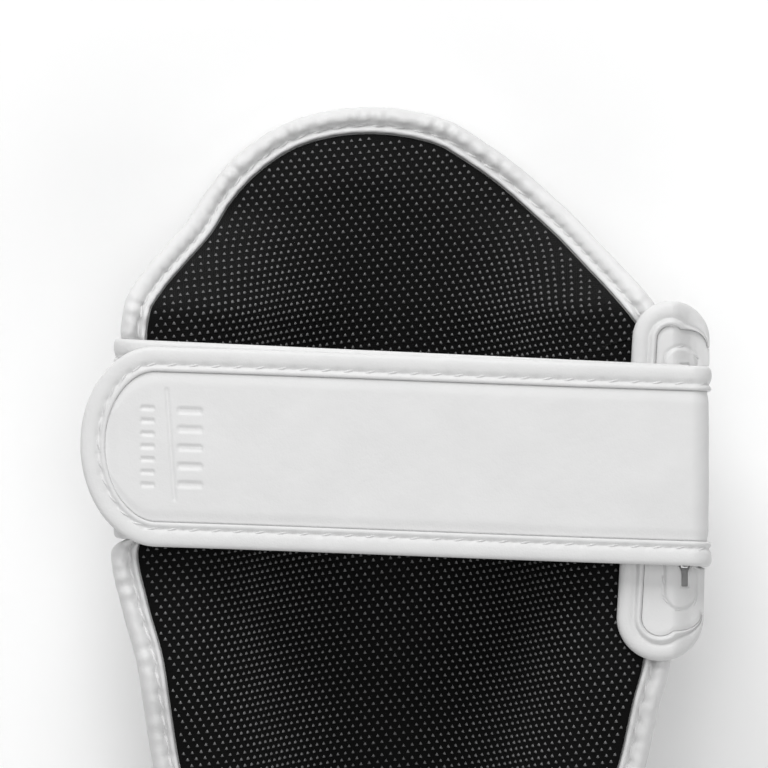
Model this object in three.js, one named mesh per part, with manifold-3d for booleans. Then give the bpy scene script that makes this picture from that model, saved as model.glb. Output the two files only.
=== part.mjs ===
// A padded shin guard that lies on its front, with the gutter for the leg upwards.
// +X points right as seen from the leg's side, +Y to the knee end, +Z from the front to the leg.
// "Down" below means the distance from the knee end of the rim, measured along the shin.
import * as THREE from "three";
import { mergeVertices } from "three/addons/utils/BufferGeometryUtils.js";
import Module from "manifold-3d";

const wasm = await Module();
wasm.setup();

// Driving sizes in millimetres
const guardLength = 330;
const halfWidth = 71; // widest reach of the rim from the shin line
const shinThickness = 25; // padding under the shin line
const channelDepth = 38; // from the shin line up to the wings
const wingThickness = 9.1;
const rimDip = 9; // how far the lining sinks to its seam at the knee end
const liningThickness = 1.4;
const gap = 0.3; // between neighbouring pieces
const slopingGap = 0.45; // measured upright between lining and shell, so that steep walls keep a gap

// Rolled rim
const flangeThickness = 3; // the pad's flat edge inside the roll
const bindingWidth = 6.5;
const bindingHeight = 8.2;
const bindingWall = 1.5;

// Straps and tabs
const strapEdgeWidth = 6.2;
const strapEdgeThickness = 2.6;
const strapThickness = 1.8;
const fastenerThickness = 1;
const tipDepth = 19; // the strap's round end, along the strap
const tabThickness = 1.6;
const tabEdgeThickness = 2.5;
const tabEdgeWidth = 6.2;
const barWidth = 1.6; // the tab's outer bar, inside the strap's loop
const lobeOutside = 8.7; // how far the tab stands out of the rim at its knee end
const lobeOutsideLow = 7.2;
const lobeWidth = 19.4; // across the tab's knee end
const lobeWidthLow = 21.8;
const noseHalf = 2.2; // half the thickness of the tab's patch at its outermost line
const noseRise = 1.3; // the tab is this much thicker on each side beside the slot

// Room that the strap has on its way
const slotRoom = 1.02; // across the slot
const slotSideRoom = 0.66; // between the slot's inner side and the strap
const tailRoom = 0.4; // between the front and the sewn end
const rollRoom = 1.4; // round the roll at the left rim
const foldInset = 1.78; // the fold's middle lies this much nearer the rim than a round roll's would
const loopDrop = 3.4; // the loop round the tab's bar is centred this far below the rim's middle
const downBend = 0.9; // inner radius where the strap turns down into the slot
const backBend = 2.28; // inner radius where it turns back on top
const levelFrom = 0.7; // the strap is level over this share of lobeWidthLow beside the slot

// Each closure is a strap with its tab. slotPlace is where the middle of the slot lies
const upper = {
  name: "upper",
  slotPlace: 90.5,
  strapWidth: 50,
  leftRim: 66, // the strap holds the left rim in to this reach
  rightRim: 70,
  tabAbove: 41.5,
  tabBelow: 48.5,
  baseLean: 0.046, // fall of the strap's base layer toward the right
  topLean: 0.032,
  tipReach: 78.6,
  tailLength: 30,
  wingShare: 1, // height of the wings here, as a share of channelDepth
  bendSteps: 7,
};
const lower = {
  name: "lower",
  slotPlace: 235,
  strapWidth: 40,
  leftRim: 48.5,
  rightRim: 51,
  tabAbove: 34,
  tabBelow: 36,
  baseLean: 0.03,
  topLean: 0.02,
  tipReach: 58,
  tailLength: 24,
  wingShare: 0.78,
  bendSteps: 5,
};
const closures = [upper, lower];

const slotEnds = 5.8; // slot length beyond the strap's width, both ends together
const slotShift = 2.4; // the slot reaches further down than up
const rimNotchBlend = 5; // length over which the rim comes out again beside a strap
const levelBelowTab = 4; // the wings are level from this far below the tab's knee end

const wingsTop = (closure) => shinThickness + channelDepth * closure.wingShare;
const wingsFront = (closure) => (wingsTop(closure) - wingThickness) / (wingsTop(upper) - wingThickness);
const zoneStart = (closure) => (closure.slotPlace - closure.tabAbove + levelBelowTab) / guardLength;
const zoneEnd = (closure) => (closure.slotPlace + closure.tabBelow + 1) / guardLength;

// The rim's outline seen from the leg's side.
// down is a share of guardLength, left and right are shares of halfWidth
const outlineRows = [
  { down: 0, left: 0.095, right: -0.095 },
  { down: 0.0114, left: 0.377, right: 0.201 },
  { down: 0.022, left: 0.468, right: 0.285 },
  { down: 0.0432, left: 0.588, right: 0.426 },
  { down: 0.0644, left: 0.669, right: 0.539 },
  { down: 0.0856, left: 0.729, right: 0.644 },
  { down: 0.1068, left: 0.813, right: 0.736 },
  { down: 0.128, left: 0.894, right: 0.827 },
  { down: 0.149, left: 0.951, right: 0.908 },
  { down: 0.17, left: 0.968, right: 0.972 },
  { down: 0.25, left: 0.99, right: 0.984 },
  { down: 0.34, left: 1, right: 0.986 },
  { down: 0.383, left: 0.961, right: 0.986 },
  { down: 0.425, left: 0.908, right: 0.968 },
  { down: 0.457, left: 0.886, right: 0.93 },
  { down: 0.499, left: 0.856, right: 0.887 },
  { down: 0.56, left: 0.79, right: 0.8 },
  { down: 0.62, left: 0.732, right: 0.735 },
  { down: 0.68, left: 0.718, right: 0.718 },
  { down: 0.8, left: 0.718, right: 0.718 },
  { down: 0.87, left: 0.67, right: 0.67 },
  { down: 0.93, left: 0.56, right: 0.56 },
  { down: 0.975, left: 0.38, right: 0.38 },
  { down: 1, left: 0, right: 0 },
];

// A section of the pad where a closure's wings are level
const levelRow = (closure, down, { wall, roll, reach, dip }) => ({
  down,
  floor: 1,
  rise: closure.wingShare,
  dip,
  front: wingsFront(closure),
  wall,
  roll,
  reach,
});

// Sections of the pad. down is a share of guardLength, floor a share of shinThickness, rise and front
// shares of channelDepth and of the wings' height, dip a share of rimDip, wall, roll and reach shares
// of halfWidth: the gutter's wall is steepest at wall, and level again after roll
const sectionRows = [
  { down: 0, floor: 0.7, rise: 0, dip: 1, front: 0.04, wall: 0.44, roll: 0.3, reach: 1 },
  { down: 0.073, floor: 0.82, rise: 0.1, dip: 0.9, front: 0.12, wall: 0.42, roll: 0.34, reach: 1 },
  { down: 0.103, floor: 0.9, rise: 0.4, dip: 0.7, front: 0.4, wall: 0.42, roll: 0.34, reach: 1 },
  { down: 0.133, floor: 0.96, rise: 0.76, dip: 0.42, front: 0.76, wall: 0.43, roll: 0.33, reach: 1 },
  levelRow(upper, zoneStart(upper), { wall: 0.45, roll: 0.31, reach: 1, dip: 0.17 }),
  levelRow(upper, zoneEnd(upper), { wall: 0.5, roll: 0.26, reach: 1, dip: 0.17 }),
  { down: 0.5, floor: 1, rise: 0.86, dip: 0.2, front: 0.88, wall: 0.46, roll: 0.26, reach: 0.92 },
  levelRow(lower, zoneStart(lower), { wall: 0.44, roll: 0.3, reach: 0.66, dip: 0.17 }),
  levelRow(lower, zoneEnd(lower), { wall: 0.44, roll: 0.3, reach: 0.66, dip: 0.17 }),
  { down: 1, floor: 0.9, rise: 0.7, dip: 0.3, front: 0.7, wall: 0.42, roll: 0.3, reach: 0.6 },
];

// Rings between the rim's seam and the shin line, as shares of a section's reach
const ringShares = [0.84, 0.76, 0.66, 0.55, 0.43, 0.31, 0.19, 0];
const flatShare = 0.19; // half of the strip that the guard rests on
const frontShare = 0.77; // where the front has risen to the wings
const rowCount = 30;
const spineInset = 22; // the shin line starts this far from both ends of the rim
const spineEvenness = 0.75; // 1 spaces the lines evenly along the shin, 0 evenly by turn
const seamRoom = 0.06; // the seam lies at least this much beyond the first ring, as a share of the reach
const mergeShare = 0.3; // lines nearer than this share of a row are one line
const dipWidth = 17;
const frontDipWidth = 12;
const seamInset = bindingWidth + gap;
const edgeInset = bindingWall + 2 * gap;

const clampShare = (value) => Math.min(1, Math.max(0, value));
const blend = (a, b, share) => a + (b - a) * share;
const smooth = (share) => share * share * (3 - 2 * share);

// A curve through points that never swings beyond its neighbours
function smoothCurve(places, values) {
  const last = places.length - 1;
  const steps = places.slice(1).map((place, i) => (values[i + 1] - values[i]) / (place - places[i]));
  const slopes = places.map((place, i) => {
    if (i === 0 || i === last) return steps[Math.min(i, last - 1)];
    const before = steps[i - 1];
    const after = steps[i];
    return before * after <= 0 ? 0 : (2 * before * after) / (before + after);
  });
  return (place) => {
    let i = 0;
    while (i < last - 1 && place > places[i + 1]) i += 1;
    const width = places[i + 1] - places[i];
    const t = clampShare((place - places[i]) / width);
    const start = (1 + 2 * t) * (1 - t) ** 2 * values[i] + t * (1 - t) ** 2 * width * slopes[i];
    const end = t * t * (3 - 2 * t) * values[i + 1] + t * t * (t - 1) * width * slopes[i + 1];
    return start + end;
  };
}

// Rows are spaced as on a round end: turn is 0 at the knee end and 1 at the ankle end
const turnOf = (down) => Math.acos(1 - 2 * clampShare(down)) / Math.PI;
const downOf = (turn) => (1 - Math.cos(turn * Math.PI)) / 2;

const outlineTurns = outlineRows.map((row) => turnOf(row.down));
const leftReach = smoothCurve(outlineTurns, outlineRows.map((row) => row.left * halfWidth));
const rightReach = smoothCurve(outlineTurns, outlineRows.map((row) => row.right * halfWidth));
const sectionPlaces = sectionRows.map((row) => row.down);
const sectionCurves = Object.fromEntries(
  Object.keys(sectionRows[0]).map((key) => [key, smoothCurve(sectionPlaces, sectionRows.map((row) => row[key]))]),
);

// Beside a strap's fold and inside a tab the rim is held in: 1 there, 0 well away from it
const strapMiddle = (closure) => closure.slotPlace - closure.baseLean * (closure.leftRim + closure.rightRim);
const heldShare = (beyond) => 1 - smooth(clampShare(beyond / rimNotchBlend));
const notchShare = (closure, down) =>
  heldShare(Math.abs(down - strapMiddle(closure)) - closure.strapWidth / 2 - 1);
const tabShare = (closure, down) =>
  heldShare(Math.max(closure.slotPlace - closure.tabAbove - down, down - closure.slotPlace - closure.tabBelow));

// A point of the rim. around runs from 0 at the knee end down the right side to 1, up the left side to 2
function rimPoint(around) {
  const wrapped = (around + 2) % 2;
  const turn = wrapped <= 1 ? wrapped : 2 - wrapped;
  const down = downOf(turn) * guardLength;
  const isRight = wrapped <= 1;
  let reach = isRight ? rightReach(turn) : leftReach(turn);
  closures.forEach((closure) => {
    const held = Math.min(reach, isRight ? closure.rightRim : closure.leftRim);
    reach = blend(reach, held, isRight ? tabShare(closure, down) : notchShare(closure, down));
  });
  return new THREE.Vector2(isRight ? reach : -reach, down);
}

// The direction that points from the rim into the pad
function inwardAt(around) {
  const step = 0.006;
  const along = rimPoint(around + step).sub(rimPoint(around - step)).normalize();
  return new THREE.Vector2(-along.y, along.x);
}

// Height of the leg side's surface and of the front at a place, far from the rim
function padHeights(x, down, fromSeam) {
  const place = clampShare(down / guardLength);
  const row = Object.fromEntries(Object.entries(sectionCurves).map(([key, curve]) => [key, curve(place)]));
  const across = Math.abs(x) / (row.reach * halfWidth);
  const steepest = 2 / (row.wall + row.roll);
  const beyondWall = clampShare((across - row.wall) / row.roll);
  const channel =
    across < row.wall
      ? (steepest * across * across) / (2 * row.wall)
      : steepest * (row.wall / 2 + row.roll * (beyondWall - beyondWall * beyondWall / 2));
  const sunk = rimDip * row.dip * clampShare(1 - fromSeam / dipWidth) ** 2;
  const leg = shinThickness * row.floor + channelDepth * row.rise * channel - sunk;
  const wingFront = wingsTop(upper) - wingThickness;
  const frontRise = smooth(clampShare((across - flatShare) / (frontShare - flatShare)));
  return { leg, front: wingFront * row.front * frontRise };
}

// One line of the pad from the rim's seam to the shin line, at a place round the rim
function padLine(around) {
  const rim = rimPoint(around);
  const inward = inwardAt(around);
  const inset = (distance) => rim.clone().addScaledVector(inward, distance);
  const seam = inset(seamInset);
  const turn = around <= 1 ? around : 2 - around;
  const spineShare = blend(turn, downOf(turn), spineEvenness);
  const spine = new THREE.Vector2(0, blend(spineInset, guardLength - spineInset, spineShare));
  const seamShare = Math.abs(seam.x) / (sectionCurves.reach(clampShare(seam.y / guardLength)) * halfWidth);
  const widest = ringShares[0] + seamRoom;
  const rings = ringShares.map((share) => {
    const point = spine.clone().lerp(seam, share / Math.max(seamShare, widest));
    const fromSeam = point.distanceTo(seam);
    return { point, fromSeam, ...padHeights(point.x, point.y, fromSeam) };
  });
  const middle = padHeights(seam.x, seam.y, 0).leg - liningThickness - gap - flangeThickness / 2;
  rings.forEach((ring) => {
    const near = clampShare(1 - ring.fromSeam / frontDipWidth) ** 2;
    ring.front = blend(ring.front, middle - flangeThickness / 2, near);
  });
  return { inset, seam, edge: inset(edgeInset), middle, rings };
}

const toSpace = (point, z) => new THREE.Vector3(point.x, guardLength / 2 - point.y, z);

// Closed mesh over a grid of points: one row of points for each station. Faces from the column
// crossFrom on are split along the other diagonal, so that two skins which face each other match
function skin(stations, { wrapStations = false, wrapProfile = false, crossFrom = Infinity } = {}) {
  const positions = [];
  const put = (...corners) => corners.forEach((corner) => positions.push(corner.x, corner.y, corner.z));
  const rows = wrapStations ? stations.length : stations.length - 1;
  const columns = wrapProfile ? stations[0].length : stations[0].length - 1;
  for (let i = 0; i < rows; i += 1) {
    const here = stations[i];
    const next = stations[(i + 1) % stations.length];
    for (let j = 0; j < columns; j += 1) {
      const k = (j + 1) % here.length;
      if (j < crossFrom) {
        put(here[j], next[j], next[k]);
        put(here[j], next[k], here[k]);
      } else {
        put(here[j], next[j], here[k]);
        put(next[j], next[k], here[k]);
      }
    }
  }
  if (!wrapStations) {
    const first = stations[0];
    const last = stations[stations.length - 1];
    for (let j = 1; j < first.length - 1; j += 1) {
      put(first[0], first[j], first[j + 1]);
      put(last[0], last[j + 1], last[j]);
    }
  }
  const loose = new THREE.BufferGeometry();
  loose.setAttribute("position", new THREE.Float32BufferAttribute(positions, 3));
  return facingOut(withoutSlivers(mergeVertices(loose, 1e-4)));
}

// Triangles that fell onto a line when points were merged are left out
function withoutSlivers(geometry) {
  const index = geometry.index.array;
  const kept = [];
  for (let i = 0; i < index.length; i += 3) {
    const [a, b, c] = [index[i], index[i + 1], index[i + 2]];
    if (a !== b && b !== c && c !== a) kept.push(a, b, c);
  }
  geometry.setIndex(kept);
  return geometry;
}

// Turns every face round if the mesh is inside out
function facingOut(geometry) {
  const position = geometry.attributes.position;
  const index = geometry.index.array;
  const corner = (i) => new THREE.Vector3().fromBufferAttribute(position, index[i]);
  let volume = 0;
  for (let i = 0; i < index.length; i += 3) volume += corner(i).dot(corner(i + 1).cross(corner(i + 2)));
  if (volume < 0) geometry.setIndex(Array.from(index).reverse());
  return geometry;
}

function toManifold(geometry) {
  const bare = geometry.clone();
  bare.deleteAttribute("normal");
  bare.deleteAttribute("uv");
  const merged = mergeVertices(bare, 1e-4);
  return new wasm.Manifold(
    new wasm.Mesh({
      numProp: 3,
      vertProperties: new Float32Array(merged.attributes.position.array),
      triVerts: new Uint32Array(merged.index.array),
    }),
  );
}

function fromManifold(solid) {
  const mesh = solid.getMesh();
  const geometry = new THREE.BufferGeometry();
  geometry.setAttribute("position", new THREE.Float32BufferAttribute(mesh.vertProperties, 3));
  geometry.setIndex(Array.from(mesh.triVerts));
  return geometry;
}

// The places round the rim where the pad has a line: even steps, and the ends of each strap's notch
function placesRound() {
  const turns = Array.from({ length: rowCount + 1 }, (_, i) => i / rowCount);
  closures.forEach((closure) => {
    [-1, 1].forEach((side) => {
      const held = strapMiddle(closure) + side * (closure.strapWidth / 2 + 1);
      const free = held + side * rimNotchBlend;
      [held, free].forEach((down) => {
        const turn = turnOf(down / guardLength);
        const nearest = turns.findIndex((other) => Math.abs(other - turn) < mergeShare / rowCount);
        if (nearest >= 0) turns[nearest] = turn;
        else turns.push(turn);
      });
    });
  });
  turns.sort((a, b) => a - b);
  const leftSide = turns.slice(1, -1).reverse();
  return [...turns, ...leftSide.map((turn) => 2 - turn)];
}

const padLines = placesRound().map(padLine);

function paddedShell() {
  const underLining = liningThickness + slopingGap;
  const stations = padLines.map((line) => {
    const half = flangeThickness / 2;
    const legSide = line.rings.map((ring) => toSpace(ring.point, ring.leg - underLining));
    const front = line.rings.map((ring) => toSpace(ring.point, ring.front));
    const edge = [
      toSpace(line.seam, line.middle + half),
      toSpace(line.edge, line.middle + half),
      toSpace(line.edge, line.middle - half),
      toSpace(line.seam, line.middle - half),
    ];
    return [...legSide.reverse(), ...edge, ...front];
  });
  return skin(stations, { wrapStations: true });
}

function lining() {
  const stations = padLines.map((line) => {
    const low = line.middle + flangeThickness / 2 + gap;
    const top = line.rings.map((ring) => toSpace(ring.point, ring.leg));
    const bottom = line.rings.map((ring) => toSpace(ring.point, ring.leg - liningThickness));
    return [...top.reverse(), toSpace(line.seam, low + liningThickness), toSpace(line.seam, low), ...bottom];
  });
  return skin(stations, { wrapStations: true, crossFrom: ringShares.length + 1 });
}

// The rolled tape: a C in section, from its lip on the leg side round the rim to its lip on the front
function edgeBinding() {
  const inner = flangeThickness / 2 + gap;
  const outer = bindingHeight / 2;
  const section = [
    [bindingWidth, inner],
    [bindingWidth, inner + 0.8 * bindingWall],
    [0.55 * bindingWidth, outer],
    [0.15 * bindingWidth, 0.86 * outer],
    [0, 0.36 * outer],
  ];
  const lowerHalf = section.map(([inset, height]) => [inset, -height]).reverse();
  const hollow = [
    [bindingWall + gap, -inner],
    [bindingWall + gap, inner],
  ];
  const profile = [...section, ...lowerHalf, ...hollow];
  const stations = padLines.map((line) =>
    profile.map(([inset, height]) => toSpace(line.inset(inset), line.middle + height)),
  );
  return skin(stations, { wrapStations: true, wrapProfile: true, crossFrom: 2 * section.length - 1 });
}

// Heights and places that a closure's strap and tab share, in the plane across the guard
function closureFrame(closure) {
  const wingTop = wingsTop(closure);
  const rimMiddle = padLine(1 + (1 - turnOf(strapMiddle(closure) / guardLength))).middle;
  const tabEdgeTop = wingTop + gap + tabEdgeThickness;
  const hollowX = closure.rightRim + 2 * gap;
  const slotX = [hollowX, hollowX + strapEdgeThickness + slotRoom];
  const layerStep = Math.max(strapEdgeThickness + gap, strapThickness + fastenerThickness + 2 * gap);
  return { wingTop, rimMiddle, tabEdgeTop, hollowX, slotX, layerStep };
}

// The front's polyline beside the left rim, from the rim towards the shin line
function frontBesideRim(closure) {
  const line = padLine(1 + (1 - turnOf(strapMiddle(closure) / guardLength)));
  return line.rings.map((ring) => new THREE.Vector2(ring.point.x, ring.front)).filter((point) => point.x < 0);
}

const arc = (centre, radius, from, to, steps) =>
  Array.from({ length: steps + 1 }, (_, i) => {
    const angle = (blend(from, to, i / steps) * Math.PI) / 180;
    return new THREE.Vector2(centre.x + radius * Math.cos(angle), centre.y + radius * Math.sin(angle));
  });

// The strap's middle line, in x and z, from its sewn end to its tip
function strapRoute(closure) {
  const at = closureFrame(closure);
  const half = strapEdgeThickness / 2;
  const steps = closure.bendSteps;

  // Under the left wing, one gap off the front
  const front = frontBesideRim(closure);
  const off = half + tailRoom;
  const tail = [];
  for (let i = 1; i < front.length - 1; i += 1) {
    const along = front[i + 1].clone().sub(front[i - 1]).normalize();
    const offset = new THREE.Vector2(along.y, -along.x).multiplyScalar(off);
    if (front[i].x < -closure.leftRim + closure.tailLength + 1) tail.unshift(front[i].clone().add(offset));
  }

  // Round the left rim
  const rollRadius = bindingHeight / 2 + rollRoom;
  const foldRadius = rollRadius + half;
  const foldX = -closure.leftRim + rollRadius - foldInset;
  const fold = arc(new THREE.Vector2(foldX, at.rimMiddle), foldRadius, 270, 90, steps + 1);

  // Over the gutter to the slot, down through it, round the bar and back on top
  const baseZ = at.tabEdgeTop + gap + half;
  const downX = at.slotX[0] + slotSideRoom + half;
  const bend = half + downBend;
  const over = arc(new THREE.Vector2(downX - bend, baseZ - bend), bend, 90, 0, Math.ceil(steps / 2));
  const straight = [new THREE.Vector2(closure.rightRim - levelFrom * lobeWidthLow, baseZ)];
  const barMiddle = at.slotX[1] + barWidth / 2;
  const loop = barMiddle - downX;
  const under = arc(new THREE.Vector2(barMiddle, at.rimMiddle - loopDrop), loop, 180, 360, steps);
  const topZ = baseZ + at.layerStep;
  const back = half + backBend;
  const overAgain = arc(new THREE.Vector2(downX + 2 * loop - back, topZ - back), back, 0, 90, steps - 1);
  const foldTop = fold[fold.length - 1];
  const fall = (baseZ - foldTop.y) / (straight[0].x - foldTop.x);
  const above = new THREE.Vector2(straight[0].x, topZ);
  const tip = new THREE.Vector2(-closure.tipReach, topZ - fall * (above.x + closure.tipReach));
  const points = [...tail, ...fold, ...straight, ...over, ...under, ...overAgain, above, tip];
  return { points, slotIndex: tail.length + fold.length + straight.length + over.length };
}

// Strap space: along its length, across its width, and off its middle surface
function strapSpace(closure) {
  const { points, slotIndex } = strapRoute(closure);
  const lengths = [0];
  for (let i = 1; i < points.length; i += 1) lengths.push(lengths[i - 1] + points[i].distanceTo(points[i - 1]));
  const normals = points.map((point, i) => {
    const before = point.clone().sub(points[Math.max(i - 1, 0)]);
    const after = points[Math.min(i + 1, points.length - 1)].clone().sub(point);
    if (i === 0) before.copy(after);
    if (i === points.length - 1) after.copy(before);
    before.normalize();
    after.normalize();
    const middle = before.clone().add(after).normalize();
    return new THREE.Vector2(-middle.y, middle.x).divideScalar(Math.max(middle.dot(before), 0.5));
  });
  const total = lengths[lengths.length - 1];
  const slotAt = lengths[slotIndex];
  const place = (along, across, off) => {
    let i = 0;
    while (i < lengths.length - 2 && along > lengths[i + 1]) i += 1;
    const share = (along - lengths[i]) / (lengths[i + 1] - lengths[i]);
    const point = points[i].clone().lerp(points[i + 1], share);
    const normal = normals[i].clone().lerp(normals[i + 1], share);
    const lean = along < slotAt ? closure.baseLean * (slotAt - along) : closure.topLean * (along - slotAt);
    const down = closure.slotPlace - lean - across;
    return new THREE.Vector3(point.x + normal.x * off, guardLength / 2 - down, point.y + normal.y * off);
  };
  return { place, lengths, total, slotAt };
}

// The round tip's outline, inset from the strap's edge: angle 0 is at the side, 90 at the very tip
function tipPoint(closure, angle, inset) {
  const half = closure.strapWidth / 2;
  const turn = (angle * Math.PI) / 180;
  const outward = new THREE.Vector2(Math.sin(turn) * half, Math.cos(turn) * tipDepth).normalize();
  return {
    along: tipDepth * Math.sin(turn) - outward.x * inset,
    across: half * Math.cos(turn) - outward.y * inset,
  };
}

const tipAngles = (steps) => Array.from({ length: steps }, (_, i) => ((i + 1) * 90) / (steps + 0.5));

function strapBand(closure) {
  const space = strapSpace(closure);
  const inset = strapEdgeWidth + gap;
  const start = space.total - tipDepth;
  const rows = space.lengths.slice(0, -1).map((along) => ({ along, across: closure.strapWidth / 2 - inset }));
  rows.push({ along: start, across: closure.strapWidth / 2 - inset });
  tipAngles(6).forEach((angle) => {
    const point = tipPoint(closure, angle, inset);
    rows.push({ along: start + point.along, across: point.across });
  });
  const half = strapThickness / 2;
  const stations = rows.map(({ along, across }) => [
    space.place(along, across, half),
    space.place(along, across, -half),
    space.place(along, -across, -half),
    space.place(along, -across, half),
  ]);
  return skin(stations, { wrapProfile: true });
}

// The rolled edge, from one corner of the sewn end round the tip to the other corner
function strapEdge(closure) {
  const space = strapSpace(closure);
  const half = strapEdgeThickness / 2;
  const start = space.total - tipDepth;
  const section = [
    [strapEdgeWidth, half * 0.8],
    [strapEdgeWidth * 0.55, half],
    [0, half * 0.4],
    [0, -half * 0.4],
    [strapEdgeWidth * 0.55, -half],
    [strapEdgeWidth, -half * 0.8],
  ];
  const sideRow = (side) => (along) =>
    section.map(([inset, off]) => space.place(along, side * (closure.strapWidth / 2 - inset), off));
  const straightRows = [...space.lengths.slice(0, -1), start];
  const tipRow = (side) => (angle) =>
    section.map(([inset, off]) => {
      const point = tipPoint(closure, angle, inset);
      return space.place(start + point.along, side * point.across, off);
    });
  const angles = [15, 30, 45, 60, 75];
  const stations = [
    ...straightRows.map(sideRow(1)),
    ...angles.map(tipRow(1)),
    tipRow(1)(90),
    ...angles.map(tipRow(-1)).reverse(),
    ...straightRows.map(sideRow(-1)).reverse(),
  ];
  return skin(stations, { wrapProfile: true });
}

// Hook and loop between the strap's two layers
function strapFastener(closure) {
  const space = strapSpace(closure);
  const at = closureFrame(closure);
  const low = (at.layerStep - fastenerThickness) / 2;
  const across = closure.strapWidth / 2 - strapEdgeWidth - 2 * gap - 1;
  const reach = [0.86, 0.34].map((share) => space.slotAt - (closure.leftRim + closure.rightRim) * share);
  const stations = reach.map((along) => [
    space.place(along, across, low),
    space.place(along, across, low + fastenerThickness),
    space.place(along, -across, low + fastenerThickness),
    space.place(along, -across, low),
  ]);
  return skin(stations, { wrapProfile: true });
}

// Outline of a tab's lobe seen from the leg's side: two round ends joined by straight sides
function lobeShape(closure, above, inset) {
  const radiusTop = lobeWidth / 2;
  const radiusLow = lobeWidthLow / 2;
  const top = new THREE.Vector2(
    closure.rightRim + lobeOutside - radiusTop,
    guardLength / 2 - (closure.slotPlace - above + radiusTop),
  );
  const low = new THREE.Vector2(
    closure.rightRim + lobeOutsideLow - radiusLow,
    guardLength / 2 - (closure.slotPlace + closure.tabBelow - radiusLow),
  );
  const points = [
    ...arc(top, radiusTop - inset, 0, 180, 8),
    ...arc(low, radiusLow - inset, 180, 360, 8),
  ];
  return new THREE.Shape(points);
}

// The tab in the plane across the guard: two layers round the rim that meet outside it
function tabSection(closure, thickness) {
  const at = closureFrame(closure);
  const inside = closure.rightRim - lobeWidthLow;
  const wingBottom = at.wingTop - wingThickness;
  const underside = 2 * at.rimMiddle - at.wingTop;
  const low = Math.min(wingBottom, underside) - gap;
  const high = at.wingTop + gap;
  const noseX = closure.rightRim + lobeOutside;
  const taperX = at.slotX[1];
  const nose = noseHalf + (thickness - tabThickness) / 2;
  const shape = new THREE.Shape([
    new THREE.Vector2(inside, high),
    new THREE.Vector2(inside, high + thickness),
    new THREE.Vector2(at.hollowX, high + thickness),
    new THREE.Vector2(taperX, at.rimMiddle + nose + noseRise),
    new THREE.Vector2(noseX, at.rimMiddle + nose),
    new THREE.Vector2(noseX, at.rimMiddle - nose),
    new THREE.Vector2(taperX, at.rimMiddle - nose - noseRise),
    new THREE.Vector2(at.hollowX, low - thickness),
    new THREE.Vector2(inside, low - thickness),
    new THREE.Vector2(inside, low),
    new THREE.Vector2(at.hollowX, low),
    new THREE.Vector2(at.hollowX, high),
  ]);
  const geometry = new THREE.ExtrudeGeometry(shape, { depth: guardLength, bevelEnabled: false });
  geometry.rotateX(Math.PI / 2);
  geometry.translate(0, guardLength / 2, 0);
  return toManifold(geometry);
}

function block(low, high) {
  const geometry = new THREE.BoxGeometry(high.x - low.x, high.y - low.y, high.z - low.z);
  geometry.translate((low.x + high.x) / 2, (low.y + high.y) / 2, (low.z + high.z) / 2);
  return toManifold(geometry);
}

function plate(shape, fromZ, toZ) {
  const geometry = new THREE.ExtrudeGeometry(shape, { depth: toZ - fromZ, bevelEnabled: false });
  geometry.translate(0, 0, fromZ);
  return toManifold(geometry);
}

// Plan of the tab: the layer on the lining reaches further up than the layer on the front
function tabPlan(closure, inset) {
  const middle = closureFrame(closure).rimMiddle;
  const reach = shinThickness + channelDepth;
  const legLayer = plate(lobeShape(closure, closure.tabAbove, inset), middle, middle + reach);
  const frontLayer = plate(lobeShape(closure, closure.tabAbove - levelBelowTab, inset), middle - reach, middle);
  return legLayer.add(frontLayer);
}

// Where the tab has no rolled edge: the fold beside the strap, widened by a margin
function foldBlock(closure, margin) {
  const y = (down) => guardLength / 2 - down;
  const from = closure.slotPlace - closure.tabAbove + lobeWidth / 2 + 2;
  const to = closure.slotPlace + closure.tabBelow - lobeWidthLow / 2 - 1;
  return block(
    new THREE.Vector3(closure.rightRim + lobeOutside - lobeWidth / 2, y(to + margin), -guardLength),
    new THREE.Vector3(closure.rightRim + 2 * lobeOutside, y(from - margin), guardLength),
  );
}

function slotBlocks(closure) {
  const at = closureFrame(closure);
  const y = (down) => guardLength / 2 - down;
  const half = closure.strapWidth / 2;
  const slotTop = closure.slotPlace - half - (slotEnds - slotShift) / 6;
  const slotLow = closure.slotPlace + half + (slotEnds + slotShift) / 1.7;
  const barX = at.slotX[1] + barWidth;
  const slot = block(
    new THREE.Vector3(at.slotX[0], y(slotLow), -guardLength),
    new THREE.Vector3(at.slotX[1], y(slotTop), guardLength),
  );
  const beside = block(
    new THREE.Vector3(barX, y(closure.slotPlace + half + 3 * gap), -guardLength),
    new THREE.Vector3(barX + 2 * lobeOutside, y(closure.slotPlace - half - 2 * gap), guardLength),
  );
  return slot.add(beside);
}

function tabPatch(closure) {
  const inset = tabEdgeWidth + gap;
  const body = tabSection(closure, tabThickness);
  const plan = tabPlan(closure, inset).add(tabPlan(closure, 0).intersect(foldBlock(closure, 0)));
  return fromManifold(body.intersect(plan).subtract(slotBlocks(closure)));
}

function tabEdge(closure) {
  const body = tabSection(closure, tabEdgeThickness);
  const core = tabPlan(closure, tabEdgeWidth).add(foldBlock(closure, gap));
  return fromManifold(body.intersect(tabPlan(closure, 0)).subtract(core).subtract(slotBlocks(closure)));
}

const whiteLeather = new THREE.MeshStandardMaterial({ color: 0xe9e9e8, roughness: 0.5, metalness: 0 });
const edgeLeather = new THREE.MeshStandardMaterial({ color: 0xe2e2e1, roughness: 0.55, metalness: 0 });
const blackFabric = new THREE.MeshStandardMaterial({ color: 0x161617, roughness: 0.85, metalness: 0 });
const hookFabric = new THREE.MeshStandardMaterial({ color: 0x1c1c1e, roughness: 0.95, metalness: 0 });

function piece(name, geometry, material) {
  const mesh = new THREE.Mesh(geometry, material);
  mesh.name = name;
  return mesh;
}

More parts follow.
